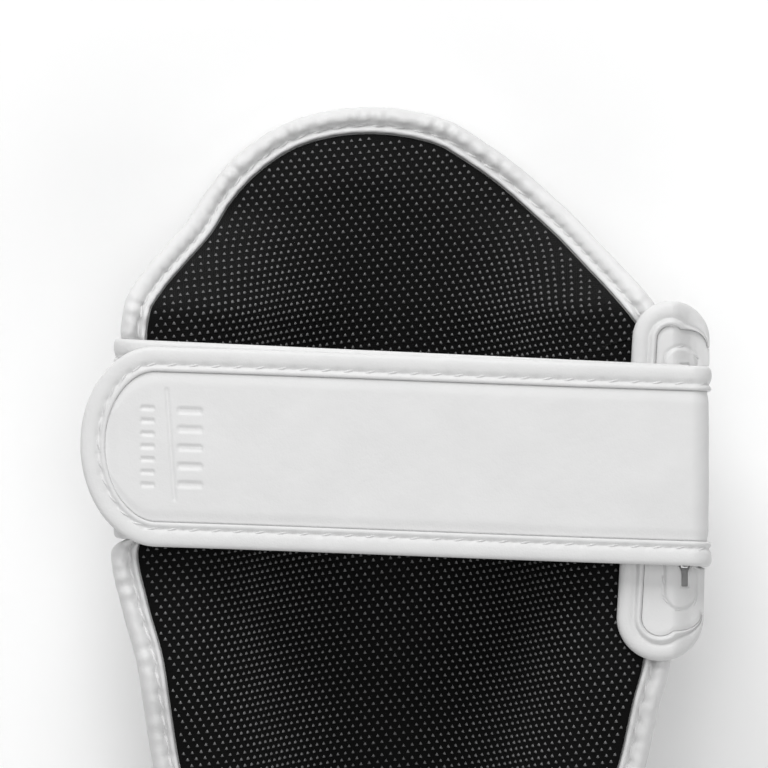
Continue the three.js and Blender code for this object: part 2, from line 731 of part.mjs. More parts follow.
const guard = new THREE.Group();
guard.add(piece("padded_shell", paddedShell(), whiteLeather));
guard.add(piece("lining", lining(), blackFabric));
guard.add(piece("edge_binding", edgeBinding(), edgeLeather));
closures.forEach((closure) => {
  guard.add(piece(`${closure.name}_strap`, strapBand(closure), whiteLeather));
  guard.add(piece(`${closure.name}_strap_edge`, strapEdge(closure), edgeLeather));
  guard.add(piece(`${closure.name}_strap_fastener`, strapFastener(closure), hookFabric));
  guard.add(piece(`${closure.name}_tab`, tabPatch(closure), whiteLeather));
  guard.add(piece(`${closure.name}_tab_edge`, tabEdge(closure), edgeLeather));
});

// The origin is under the middle of the guard's box, on the surface that it rests on
const extent = new THREE.Box3().setFromObject(guard, true);
const centre = extent.getCenter(new THREE.Vector3());
guard.position.set(-centre.x, -centre.y, -extent.min.z);

export default guard;
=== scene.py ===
import math

import bmesh
import bpy
import numpy as np
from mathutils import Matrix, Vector


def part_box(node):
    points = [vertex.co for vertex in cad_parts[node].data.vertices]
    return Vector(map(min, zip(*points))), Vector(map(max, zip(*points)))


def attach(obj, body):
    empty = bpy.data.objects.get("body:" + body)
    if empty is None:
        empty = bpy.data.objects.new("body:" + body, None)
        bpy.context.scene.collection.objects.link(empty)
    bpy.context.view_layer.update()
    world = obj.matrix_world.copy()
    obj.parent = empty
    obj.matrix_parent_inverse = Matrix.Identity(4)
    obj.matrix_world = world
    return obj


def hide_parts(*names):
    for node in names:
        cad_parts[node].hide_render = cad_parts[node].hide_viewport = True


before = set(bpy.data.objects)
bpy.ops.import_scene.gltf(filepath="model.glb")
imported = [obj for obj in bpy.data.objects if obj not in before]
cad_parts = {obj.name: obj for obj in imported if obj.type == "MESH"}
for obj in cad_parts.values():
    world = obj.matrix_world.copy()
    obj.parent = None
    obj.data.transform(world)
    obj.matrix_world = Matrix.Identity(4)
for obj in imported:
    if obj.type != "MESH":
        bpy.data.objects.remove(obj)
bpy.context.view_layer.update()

# Millimetres here, metres in the meshes. "down" is the distance from the knee end along the shin,
# +X is right as seen from the leg's side, and z rises from the floor to the leg.
mm = 0.001
guard = dict(length=330.0, halfWidth=71.0, shin=25.0, depth=38.0, wing=9.1, dip=9.0, lining=1.4, gap=0.3,
             spineInset=22.0, spineEvenness=0.75, dipReach=17.0, seamBlend=12.0)
rim = dict(flange=3.0, width=6.5, height=8.2, wall=1.5)
seamInset = rim["width"] + guard["gap"]
upper = dict(name="upper", slot=90.5, width=50.0, leftRim=66.0, rightRim=70.0, above=41.5, below=48.5,
             baseLean=0.046, topLean=0.032, tip=78.6, rise=1.0,
             columns=96, edgeStep=0.7, lobeSteps=90)
lower = dict(name="lower", slot=235.0, width=40.0, leftRim=48.5, rightRim=51.0, above=34.0, below=36.0,
             baseLean=0.03, topLean=0.02, tip=58.0, rise=0.78,
             columns=56, edgeStep=0.95, lobeSteps=52)
closures = [upper, lower]
band = dict(edge=6.2, edgeThick=2.6, thick=1.8, fastener=1.0, tipDepth=19.0)
tab = dict(thick=1.6, edgeThick=2.5, bar=1.6, out=8.7, outLow=7.2, wide=19.4, wideLow=21.8, nose=2.2,
           backSteps=46)

# The frame's origin is under the middle of the whole guard, so the shin line lies a little beside it
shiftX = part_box("upper_tab_edge")[1][0] / mm - (upper["rightRim"] + tab["out"])


def clampShare(value):
    return np.clip(value, 0.0, 1.0)


def smooth(share):
    share = clampShare(share)
    return share * share * (3 - 2 * share)


def mix(a, b, share):
    return a + (b - a) * share


def smoothCurve(places, values):
    places = np.array(places, float)
    values = np.array(values, float)
    steps = np.diff(values) / np.diff(places)
    slopes = np.zeros(len(places))
    slopes[0], slopes[-1] = steps[0], steps[-1]
    for i in range(1, len(places) - 1):
        if steps[i - 1] * steps[i] > 0:
            slopes[i] = 2 * steps[i - 1] * steps[i] / (steps[i - 1] + steps[i])

    def curve(place):
        place = np.asarray(place, float)
        i = np.clip(np.searchsorted(places, place) - 1, 0, len(places) - 2)
        width = places[i + 1] - places[i]
        t = clampShare((place - places[i]) / width)
        start = (1 + 2 * t) * (1 - t) ** 2 * values[i] + t * (1 - t) ** 2 * width * slopes[i]
        return start + t * t * (3 - 2 * t) * values[i + 1] + t * t * (t - 1) * width * slopes[i + 1]

    return curve


# Rim outline: down is a share of the length, left and right are shares of halfWidth
outlineRows = [
    # down, left, right
    (0, 0.095, -0.095), (0.0114, 0.377, 0.201), (0.022, 0.468, 0.285), (0.0432, 0.588, 0.426),
    (0.0644, 0.669, 0.539), (0.0856, 0.729, 0.644), (0.1068, 0.813, 0.736), (0.128, 0.894, 0.827),
    (0.149, 0.951, 0.908), (0.17, 0.968, 0.972), (0.25, 0.99, 0.984), (0.34, 1, 0.986),
    (0.383, 0.961, 0.986), (0.425, 0.908, 0.968), (0.457, 0.886, 0.93), (0.499, 0.856, 0.887),
    (0.56, 0.79, 0.8), (0.62, 0.732, 0.735), (0.68, 0.718, 0.718), (0.8, 0.718, 0.718),
    (0.87, 0.67, 0.67), (0.93, 0.56, 0.56), (0.975, 0.38, 0.38), (1, 0, 0),
]
outlineRows = np.array(outlineRows, float)


def turnOf(down):
    return np.arccos(1 - 2 * clampShare(down)) / math.pi


def downOf(turn):
    return (1 - np.cos(turn * math.pi)) / 2


leftReach = smoothCurve(turnOf(outlineRows[:, 0]), outlineRows[:, 1] * guard["halfWidth"])
rightReach = smoothCurve(turnOf(outlineRows[:, 0]), outlineRows[:, 2] * guard["halfWidth"])


def wingTop(closure):
    return guard["shin"] + guard["depth"] * closure["rise"]


def levelRow(closure, down, wall, roll, reach):
    front = (wingTop(closure) - guard["wing"]) / (wingTop(upper) - guard["wing"])
    return (down / guard["length"], 1, closure["rise"], 0.17, front, wall, roll, reach)


# Sections of the pad, in shares: how high the shin line, wings and front lie, and where the wall is
sectionRows = np.array([
    # down, floor, rise, dip, front, wall, roll, reach
    (0, 0.7, 0, 1, 0.04, 0.44, 0.3, 1),
    (0.073, 0.82, 0.1, 0.9, 0.12, 0.42, 0.34, 1),
    (0.103, 0.9, 0.4, 0.7, 0.4, 0.42, 0.34, 1),
    (0.133, 0.96, 0.76, 0.42, 0.76, 0.43, 0.33, 1),
    levelRow(upper, upper["slot"] - upper["above"] + 4, 0.45, 0.31, 1),
    levelRow(upper, upper["slot"] + upper["below"] + 1, 0.5, 0.26, 1),
    (0.5, 1, 0.86, 0.2, 0.88, 0.46, 0.26, 0.92),
    levelRow(lower, lower["slot"] - lower["above"] + 4, 0.44, 0.3, 0.66),
    levelRow(lower, lower["slot"] + lower["below"] + 1, 0.44, 0.3, 0.66),
    (1, 0.9, 0.7, 0.3, 0.7, 0.42, 0.3, 0.6),
], float)
sectionNames = ["floor", "rise", "dip", "front", "wall", "roll", "reach"]
section = {name: smoothCurve(sectionRows[:, 0], sectionRows[:, i + 1]) for i, name in enumerate(sectionNames)}


def strapMiddle(closure):
    return closure["slot"] - closure["baseLean"] * (closure["leftRim"] + closure["rightRim"])


# The rim swells out again close beside a strap, as padding does beside a tight band
def rimPoint(around, free=False):
    wrapped = np.mod(around, 2.0)
    right = wrapped <= 1
    turn = np.where(right, wrapped, 2 - wrapped)
    down = downOf(turn) * guard["length"]
    reach = np.where(right, rightReach(turn), leftReach(turn))
    for closure in closures:
        if free:
            break
        beside = clampShare((np.abs(down - strapMiddle(closure)) - closure["width"] / 2 + 1.2) / 4.2)
        inTab = np.maximum(closure["slot"] - closure["above"] - down, down - closure["slot"] - closure["below"])
        held = np.minimum(reach, np.where(right, closure["rightRim"], closure["leftRim"]))
        out = np.where(right, smooth(inTab / 5), 1 - (1 - beside) ** 2.4)
        reach = mix(held, reach, out)
    return np.stack([np.where(right, reach, -reach), down], -1)


def padHeights(x, down, fromSeam):
    place = clampShare(down / guard["length"])
    row = {name: curve(place) for name, curve in section.items()}
    across = np.abs(x) / (row["reach"] * guard["halfWidth"])
    steepest = 2 / (row["wall"] + row["roll"])
    beyond = clampShare((across - row["wall"]) / row["roll"])
    inner = steepest * across**2 / (2 * row["wall"])
    outer = steepest * (row["wall"] / 2 + row["roll"] * (beyond - beyond**2 / 2))
    channel = np.where(across < row["wall"], inner, outer)
    sunk = guard["dip"] * row["dip"] * clampShare(1 - fromSeam / guard["dipReach"]) ** 2
    leg = guard["shin"] * row["floor"] + guard["depth"] * row["rise"] * channel - sunk
    front = (wingTop(upper) - guard["wing"]) * row["front"] * smooth((across - 0.19) / (0.77 - 0.19))
    return leg, front


def rimFrame(around):
    step = 0.003
    point = rimPoint(around)
    along = rimPoint(around + step, free=True) - rimPoint(around - step, free=True)
    along /= np.linalg.norm(along, axis=-1, keepdims=True)
    # under a strap the roll is squeezed, so that its seam moves less than its outside
    squeezed = np.linalg.norm(rimPoint(around, free=True) - point, axis=-1)
    inward = np.stack([-along[..., 1], along[..., 0]], -1) * (1 - 0.65 * squeezed / seamInset)[..., None]
    seam = point + inward * seamInset
    leg = padHeights(seam[..., 0], seam[..., 1], np.zeros(len(seam)))[0]
    middle = leg - guard["lining"] - guard["gap"] - rim["flange"] / 2
    return point, inward, seam, middle


# Even steps round the rim by its true length
def evenAround(count):
    fine = np.linspace(0, 2, 6001)
    point, _, _, middle = rimFrame(fine)
    spots = np.concatenate([point, middle[:, None]], 1)
    lengths = np.concatenate([[0], np.cumsum(np.linalg.norm(np.diff(spots, axis=0), axis=1))])
    return np.interp(np.linspace(0, lengths[-1], count, endpoint=False), lengths, fine), lengths[-1]


def toSpace(x, down, z):
    x, down, z = np.broadcast_arrays(x, down, z)
    return np.stack([x + shiftX, guard["length"] / 2 - down, z], -1) * mm


# Cheap smooth noise from a few sine waves, the same each run
def ripple(a, b, scale, seed):
    rng = np.random.default_rng(seed)
    total = np.zeros(np.broadcast(a, b).shape)
    for _ in range(7):
        angle = rng.uniform(0, 2 * math.pi)
        size = scale * rng.uniform(0.6, 1.7)
        total += np.sin((a * math.cos(angle) + b * math.sin(angle)) * 2 * math.pi / size + rng.uniform(0, 6.28))
    return total / 4


# Meshes from grids of points
def addMesh(name, verts, faces, material, replaces=()):
    mesh = bpy.data.meshes.new(name)
    mesh.from_pydata([tuple(v) for v in verts], [], faces)
    bm = bmesh.new()
    bm.from_mesh(mesh)
    bmesh.ops.remove_doubles(bm, verts=bm.verts, dist=2e-6)
    bmesh.ops.dissolve_degenerate(bm, edges=bm.edges, dist=1e-6)
    bmesh.ops.recalc_face_normals(bm, faces=bm.faces)
    bm.to_mesh(mesh)
    bm.free()
    mesh.polygons.foreach_set("use_smooth", [True] * len(mesh.polygons))
    piece = bpy.data.objects.new(name, mesh)
    bpy.context.scene.collection.objects.link(piece)
    piece.data.materials.append(material)
    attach(piece, "root")
    if replaces:
        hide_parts(*replaces)
    return piece


def gridFaces(rows, columns, wrapRows=False, wrapColumns=False, start=0):
    faces = []
    for i in range(rows if wrapRows else rows - 1):
        here = start + i * columns
        after = start + ((i + 1) % rows) * columns
        for j in range(columns if wrapColumns else columns - 1):
            k = (j + 1) % columns
            faces.append((here + j, after + j, after + k, here + k))
    return faces


def tubeMesh(stations):
    rows, columns = stations.shape[:2]
    faces = gridFaces(rows, columns, wrapColumns=True)
    faces.append(tuple(range(columns)))
    faces.append(tuple(range((rows - 1) * columns, rows * columns))[::-1])
    return stations.reshape(-1, 3), faces


# Colours as sRGB hex, turned to linear
def fromHex(code):
    values = [int(code[i:i + 2], 16) / 255 for i in (0, 2, 4)]
    return tuple(v / 12.92 if v <= 0.04045 else ((v + 0.055) / 1.055) ** 2.4 for v in values) + (1.0,)


def addNode(tree, kind, links=None, **settings):
    node = tree.nodes.new(kind)
    for key, value in settings.items():
        if key in node.inputs.keys() or key.isdigit():
            node.inputs[int(key) if key.isdigit() else key].default_value = value
        else:
            setattr(node, key, value)
    for key, source in (links or {}).items():
        tree.links.new(source, node.inputs[int(key) if key.isdigit() else key])
    return node


def newMaterial(name):
    material = bpy.data.materials.new(name)
    material.use_nodes = True
    tree = material.node_tree
    return material, tree, tree.nodes["Principled BSDF"]


# Cast polyurethane-coated split leather: a faint pebble grain, soft sheen, hardly any colour
def makeLeather(name, colour, shade, roughness, grainSize, grainDepth, creaseDepth):
    material, tree, shader = newMaterial(name)
    place = addNode(tree, "ShaderNodeTexCoord").outputs["Object"]
    pebbles = addNode(tree, "ShaderNodeTexVoronoi", {"Vector": place}, Scale=1 / (grainSize * mm))
    fine = addNode(tree, "ShaderNodeTexNoise", {"Vector": place}, Scale=1 / (2.5 * grainSize * mm), Detail=4.0)
    broad = addNode(tree, "ShaderNodeTexNoise", {"Vector": place}, Scale=1 / (14 * mm), Detail=3.0, Roughness=0.6)
    grain = addNode(tree, "ShaderNodeMath", {"0": pebbles.outputs["Distance"], "1": fine.outputs["Fac"]},
                    operation="ADD")
    bump = addNode(tree, "ShaderNodeBump", {"Height": grain.outputs[0]}, Strength=grainDepth, Distance=0.1 * mm)
    creases = addNode(tree, "ShaderNodeBump", {"Height": broad.outputs["Fac"], "Normal": bump.outputs[0]},
                      Strength=creaseDepth, Distance=1.2 * mm)
    tint = addNode(tree, "ShaderNodeMix", {"0": broad.outputs["Fac"]}, data_type="RGBA")
    tint.inputs[6].default_value = fromHex(colour)
    tint.inputs[7].default_value = fromHex(shade)
    rough = addNode(tree, "ShaderNodeMapRange", {"Value": fine.outputs["Fac"]})
    rough.inputs["To Min"].default_value = roughness - 0.05
    rough.inputs["To Max"].default_value = roughness + 0.07
    tree.links.new(tint.outputs[2], shader.inputs["Base Color"])
    tree.links.new(rough.outputs[0], shader.inputs["Roughness"])
    tree.links.new(creases.outputs[0], shader.inputs["Normal"])
    shader.inputs["IOR"].default_value = 1.48
    return material


# Knitted polyester air mesh: tiny stitches in diagonal rows, matt and nearly black
def makeMeshFabric():
    material, tree, shader = newMaterial("blackKnitPolyester")
    place = addNode(tree, "ShaderNodeTexCoord").outputs["Object"]
    knit = addNode(tree, "ShaderNodeTexVoronoi", {"Vector": place}, Scale=1 / (0.55 * mm), Randomness=0.55)
    fuzz = addNode(tree, "ShaderNodeTexNoise", {"Vector": place}, Scale=1 / (0.35 * mm), Detail=3.0)
    bump = addNode(tree, "ShaderNodeBump", {"Height": knit.outputs["Distance"]}, Strength=0.8, Distance=0.22 * mm)
    ramp = addNode(tree, "ShaderNodeMix", {"0": fuzz.outputs["Fac"]}, data_type="RGBA")
    ramp.inputs[6].default_value = fromHex("030303")
    ramp.inputs[7].default_value = fromHex("0b0b0b")
    tree.links.new(ramp.outputs[2], shader.inputs["Base Color"])
    tree.links.new(bump.outputs[0], shader.inputs["Normal"])
    shader.inputs["Roughness"].default_value = 0.88
    shader.inputs["Specular IOR Level"].default_value = 0.15
    shader.inputs["Sheen Weight"].default_value = 0.03
    shader.inputs["Sheen Roughness"].default_value = 0.4
    return material


# Printed silicone pips: glossy black rubber with a soft gloss, given a dark grey base colour as painted sheen
def makePips():
    material, tree, shader = newMaterial("pipsGreyPaintedSheen")
    place = addNode(tree, "ShaderNodeTexCoord").outputs["Object"]
    patch = addNode(tree, "ShaderNodeTexNoise", {"Vector": place}, Scale=1 / (9 * mm), Detail=2.0)
    # the grey in the base colour is painted sheen on black rubber; the patch noise only varies it at random
    tint = addNode(tree, "ShaderNodeMix", {"0": patch.outputs["Fac"]}, data_type="RGBA")
    tint.inputs[6].default_value = fromHex("444445")
    tint.inputs[7].default_value = fromHex("6a6a6b")
    tree.links.new(tint.outputs[2], shader.inputs["Base Color"])
    shader.inputs["Roughness"].default_value = 0.42
    shader.inputs["Specular IOR Level"].default_value = 0.7
    return material


# Bonded nylon thread, three fine plies
def makeThread():
    material, tree, shader = newMaterial("whiteNylonThread")
    place = addNode(tree, "ShaderNodeTexCoord").outputs["Object"]
    plies = addNode(tree, "ShaderNodeTexWave", {"Vector": place}, Scale=1 / (1.1 * mm), Distortion=1.0)
    bump = addNode(tree, "ShaderNodeBump", {"Height": plies.outputs["Fac"]}, Strength=0.5, Distance=0.08 * mm)
    tree.links.new(bump.outputs[0], shader.inputs["Normal"])
    shader.inputs["Base Color"].default_value = fromHex("dddddd")
    shader.inputs["Roughness"].default_value = 0.6
    return material


# Nylon hook and loop tape
def makeHook():
    material, tree, shader = newMaterial("blackHookTape")
    place = addNode(tree, "ShaderNodeTexCoord").outputs["Object"]
    hooks = addNode(tree, "ShaderNodeTexVoronoi", {"Vector": place}, Scale=1 / (0.9 * mm), Randomness=0.1)
    bump = addNode(tree, "ShaderNodeBump", {"Height": hooks.outputs["Distance"]}, Strength=1.0, Distance=0.4 * mm)
    tint = addNode(tree, "ShaderNodeMix", {"0": hooks.outputs["Distance"]}, data_type="RGBA")
    tint.inputs[6].default_value = fromHex("242426")
    tint.inputs[7].default_value = fromHex("0c0c0d")
    tree.links.new(tint.outputs[2], shader.inputs["Base Color"])
    tree.links.new(bump.outputs[0], shader.inputs["Normal"])
    shader.inputs["Roughness"].default_value = 0.9
    return material


shellLeather = makeLeather("whiteShellLeather", "e0e0e0", "d9d9d9", 0.46, 0.7, 0.25, 0.25)
strapLeather = makeLeather("whiteStrapLeather", "e3e3e3", "dbdbdb", 0.48, 0.55, 0.22, 0.3)
edgeLeather = makeLeather("whiteRolledLeather", "e2e2e2", "d8d8d8", 0.5, 0.5, 0.3, 0.4)
knitFabric = makeMeshFabric()
pipRubber = makePips()
thread = makeThread()
hookTape = makeHook()
print("materials made")


# Where a pad line meets the shin line, for a line that starts at this turn of the rim
def spineDown(turn):
    share = mix(turn, downOf(turn), guard["spineEvenness"])
    return mix(guard["spineInset"], guard["length"] - guard["spineInset"], share)


# The front comes up to the rim's flange near the seam
def frontAtSeam(front, middle, fromSeam):
    return mix(front, middle - rim["flange"] / 2, clampShare(1 - fromSeam / guard["seamBlend"]) ** 2)


# Pad lines from the rim's seam to the shin line: arrays of stations by rings
def padGrid(count, rings):
    around, _ = evenAround(count)
    point, inward, seam, middle = rimFrame(around)
    turn = np.where(around <= 1, around, 2 - around)
    spine = np.stack([np.zeros(count), spineDown(turn)], -1)
    shares = 1 - rings[None, :]
    spots = spine[:, None, :] + (seam - spine)[:, None, :] * shares[:, :, None]
    fromSeam = np.linalg.norm(spots - seam[:, None, :], axis=-1)
    leg, front = padHeights(spots[..., 0], spots[..., 1], fromSeam)
    front = frontAtSeam(front, middle[:, None], fromSeam)
    return dict(point=point, inward=inward, middle=middle, spots=spots, fromSeam=fromSeam, leg=leg, front=front)


lining = dict(stations=500, edgeSink=0.5, dents=0.5, dentSize=38.0)
ringPlaces = np.concatenate([np.linspace(0, 0.16, 12, endpoint=False), np.linspace(0.16, 1, 32)])


def buildLining():
    grid = padGrid(lining["stations"], ringPlaces)
    x, down = grid["spots"][..., 0], grid["spots"][..., 1]
    inside = smooth(grid["fromSeam"] / 14)
    dent = ripple(x, down, lining["dentSize"], 4) * lining["dents"] * inside
    top = grid["leg"] + dent - lining["edgeSink"] * (1 - smooth(grid["fromSeam"] / 2.0))
    stations, rings = top.shape
    topVerts = toSpace(x, down, top).reshape(-1, 3)
    bottomVerts = toSpace(x, down, grid["leg"] - guard["lining"]).reshape(-1, 3)
    faces = gridFaces(stations, rings, wrapRows=True)
    count = stations * rings
    faces += [tuple(i + count for i in face[::-1]) for face in faces]
    spine = set()
    for i in range(stations):
        here, after = i * rings, ((i + 1) % stations) * rings
        faces.append((here, here + count, after + count, after))
        here, after = here + rings - 1, after + rings - 1
        faces.append((after, after + count, here + count, here))
        spine.update((here, here + count))
    verts = np.concatenate([topVerts, bottomVerts])
    piece = addMesh("lining_fabric", verts, faces, knitFabric, ["lining"])
    for edge in piece.data.edges:
        # the two halves meet along the shin line without a shading seam
        edge.use_edge_sharp = spine.issuperset(edge.vertices)
    return piece


liningPiece = buildLining()
# the fabric is cut to the pad's outline and pulled into the gutter: its area is half the surface of
# the CAD lining, which is 156 mm along the widest arc and 322 mm along the shin line
print("lining made")

# Pips: small rounded triangles in staggered rows, laid by the fabric's own length
pips = dict(pitch=2.18, rowPitch=1.64, lean=-0.122, radius=0.62, height=0.42, edge=1.0)


def buildPips():
    downs = np.arange(4.0, guard["length"] - 4, 0.5)
    halfSteps = np.linspace(0, 72, 289)
    rng = np.random.default_rng(3)
    # fabric length across the gutter for each place down the guard
    place = np.repeat(downs[:, None], len(halfSteps), 1)
    leg, _ = padHeights(np.repeat(halfSteps[None], len(downs), 0), place, np.full(place.shape, 30.0))
    slope = np.gradient(leg, halfSteps, axis=1)
    lengths = np.concatenate([np.zeros((len(downs), 1)), np.cumsum(
        0.5 * (np.sqrt(1 + slope[:, 1:] ** 2) + np.sqrt(1 + slope[:, :-1] ** 2)) * np.diff(halfSteps), axis=1)], 1)
    spineLeg, _ = padHeights(np.zeros(len(downs)), downs, np.full(len(downs), 30.0))
    alongSpine = np.concatenate([[0], np.cumsum(np.hypot(np.diff(downs), np.diff(spineLeg)))])
    spots = []
    rows = int(alongSpine[-1] / pips["rowPitch"]) + 60
    for row in range(-30, rows):
        count = np.arange(-62, 63) + (0.5 if row % 2 else 0.0)
        across = count * pips["pitch"]
        along = row * pips["rowPitch"] + across * pips["lean"]
        down = np.interp(along, alongSpine, downs)
        keep = (along > 0) & (along < alongSpine[-1])
        index = np.clip(((down - downs[0]) / 0.5).astype(int), 0, len(downs) - 1)
        x = np.array([np.interp(abs(a), lengths[i], halfSteps) * math.copysign(1, a)
                      for a, i in zip(across, index)])
        spots.append(np.stack([x[keep], down[keep]], -1))
    spots = np.concatenate(spots)
    spots = spots[np.abs(spots[:, 0]) < 71.5]
    # how far each pip lies inside the seam
    fine, _ = evenAround(1400)
    _, inwards, seam, _ = rimFrame(fine)
    nearest = np.empty(len(spots), int)
    for i in range(0, len(spots), 400):
        gaps = np.linalg.norm(spots[i:i + 400, None] - seam[None], axis=-1)
        nearest[i:i + 400] = gaps.argmin(1)
    inside = ((spots - seam[nearest]) * inwards[nearest]).sum(1)
    spots = spots[inside > pips["edge"]]

    # drop each pip on the fabric, and take the slope there from two more drops beside it
    def drop(x, down):
        found = np.full(len(x), np.nan)
        for i, start in enumerate(toSpace(x, down, 90.0)):
            hit, where, _, _ = liningPiece.ray_cast(start, (0, 0, -1))
            if hit:
                found[i] = where.z / mm
        return found

    x, down = spots[:, 0], spots[:, 1]
    e = 0.45
    z, ahead, beside = drop(x, down), drop(x, down - e), drop(x + e, down)
    landed = ~np.isnan(z + ahead + beside)
    x, down, z, ahead, beside = x[landed], down[landed], z[landed], ahead[landed], beside[landed]
    dx, dy = (beside - z) / e, (ahead - z) / e
    normal = np.stack([-dx, -dy, np.ones(len(x))], -1)
    normal /= np.linalg.norm(normal, axis=1, keepdims=True)
    right = np.stack([np.ones(len(x)), np.zeros(len(x)), dx], -1)
    right /= np.linalg.norm(right, axis=1, keepdims=True)
    up = np.cross(normal, right)
    centre = np.stack([x + shiftX, guard["length"] / 2 - down, z], -1)
    angles = np.radians([90, 150, 210, 270, 330, 30])
    radii = np.array([1.0, 0.62, 1.0, 0.62, 1.0, 0.62]) * pips["radius"]
    size = rng.uniform(0.92, 1.06, len(x))[:, None]
    ring = [centre + (right * math.cos(a) + up * math.sin(a)) * r * size - normal * 0.12
            for a, r in zip(angles, radii)]
    mid = [centre + (right * math.cos(a) + up * math.sin(a)) * 0.42 * r * size + normal * pips["height"]
           for a, r in zip(angles[::2], radii[::2])]
    verts = np.stack([*ring, *mid], 1) * mm
    pattern = [(0, 1, 6), (1, 7, 6), (1, 2, 7), (2, 3, 7), (3, 8, 7), (3, 4, 8), (4, 5, 8), (5, 6, 8), (5, 0, 6),
               (6, 7, 8)]
    for name, part in (("knee", down < guard["length"] / 2), ("ankle", down >= guard["length"] / 2)):
        chosen = verts[part]
        faces = [tuple(9 * i + k for k in corner) for i in range(len(chosen)) for corner in pattern]
        mesh = bpy.data.meshes.new("lining_pips_" + name)
        mesh.from_pydata([tuple(v) for v in chosen.reshape(-1, 3)], [], faces)
        mesh.polygons.foreach_set("use_smooth", [True] * len(mesh.polygons))
        piece = bpy.data.objects.new("lining_pips_" + name, mesh)
        bpy.context.scene.collection.objects.link(piece)
        piece.data.materials.append(pipRubber)
        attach(piece, "root")
    print("pips made:", len(verts))


buildPips()

shell = dict(stations=420, dents=0.12, dentSize=46.0, under=0.45, overlap=0.6)


def buildShell():
    places = np.concatenate([np.linspace(0, 0.2, 9, endpoint=False), np.linspace(0.2, 1, 21)])
    grid = padGrid(shell["stations"], places)
    x, down = grid["spots"][..., 0], grid["spots"][..., 1]
    half = rim["flange"] / 2
    leg = grid["leg"] - guard["lining"] - shell["under"]
    leg[:, 0] = grid["middle"] + half
    front = grid["front"]
    lift = smooth(front / 6) * smooth(grid["fromSeam"] / 10)
    front = front + ripple(x, down, shell["dentSize"], 9) * shell["dents"] * lift
    top = toSpace(x, down, leg)[:, ::-1]
    edge = grid["point"] + grid["inward"] * (rim["wall"] + shell["overlap"])
    flange = [toSpace(edge[:, 0], edge[:, 1], grid["middle"] + side * half)[:, None] for side in (1, -1)]
    bottom = toSpace(x, down, front)
    stations = np.concatenate([top, *flange, bottom], 1)
    rows, columns = stations.shape[:2]
    faces = gridFaces(rows, columns, wrapRows=True)
    piece = addMesh("shell_cover", stations.reshape(-1, 3), faces, shellLeather, ["padded_shell"])


buildShell()
print("shell made")

# The rolled rim: a fat outer roll, a stitched valley and a thin lip, on both sides
roll = dict(stations=1300, stitch=5.5, stitchDip=0.62, pucker=0.36, seam=4.6)
rollProfile = [
    # inset from the rim, height off the middle
    (6.4, 1.85), (6.5, 2.4), (6.45, 3.0), (6.2, 3.5), (5.8, 3.72), (5.4, 3.6), (5.1, 3.1), (4.85, 2.5), (4.6, 2.2),
    (4.35, 2.45), (4.1, 3.0), (3.75, 3.55), (3.3, 3.9), (2.7, 4.1), (2.0, 4.08), (1.3, 3.75), (0.7, 3.1),
    (0.3, 2.3), (0.08, 1.2), (0.0, 0.0),
]


# Threads: short slanted capsules set into the valley
def buildThreads(name, spots, alongs, ups, length, radius, slant):
    verts, faces = [], []
    sides = 6
    ends = [(-0.5, 0.35), (-0.38, 0.9), (0.0, 1.1), (0.38, 0.9), (0.5, 0.35)]
    for spot, along, up in zip(spots, alongs, ups):
        along = along / np.linalg.norm(along)
        up = up / np.linalg.norm(up)
        side = np.cross(up, along)
        way = along * math.cos(slant) + side * math.sin(slant)
        side = np.cross(up, way)
        start = len(verts)
        for share, fat in ends:
            sink = -0.55 * radius * (2 * abs(share)) ** 2
            for k in range(sides):
                angle = 2 * math.pi * k / sides
                off = side * math.cos(angle) * radius * fat + up * (math.sin(angle) * radius * fat + sink)
                verts.append((spot + way * share * length + off) * mm)
        for i in range(len(ends) - 1):
            for k in range(sides):
                a, b = start + i * sides + k, start + i * sides + (k + 1) % sides
                faces.append((a, b, b + sides, a + sides))
        faces.append(tuple(start + k for k in range(sides))[::-1])
        faces.append(tuple(start + (len(ends) - 1) * sides + k for k in range(sides)))
    return addMesh(name, verts, faces, thread)


def pointsOf(x, down, z):
    return toSpace(x, down, z) / mm


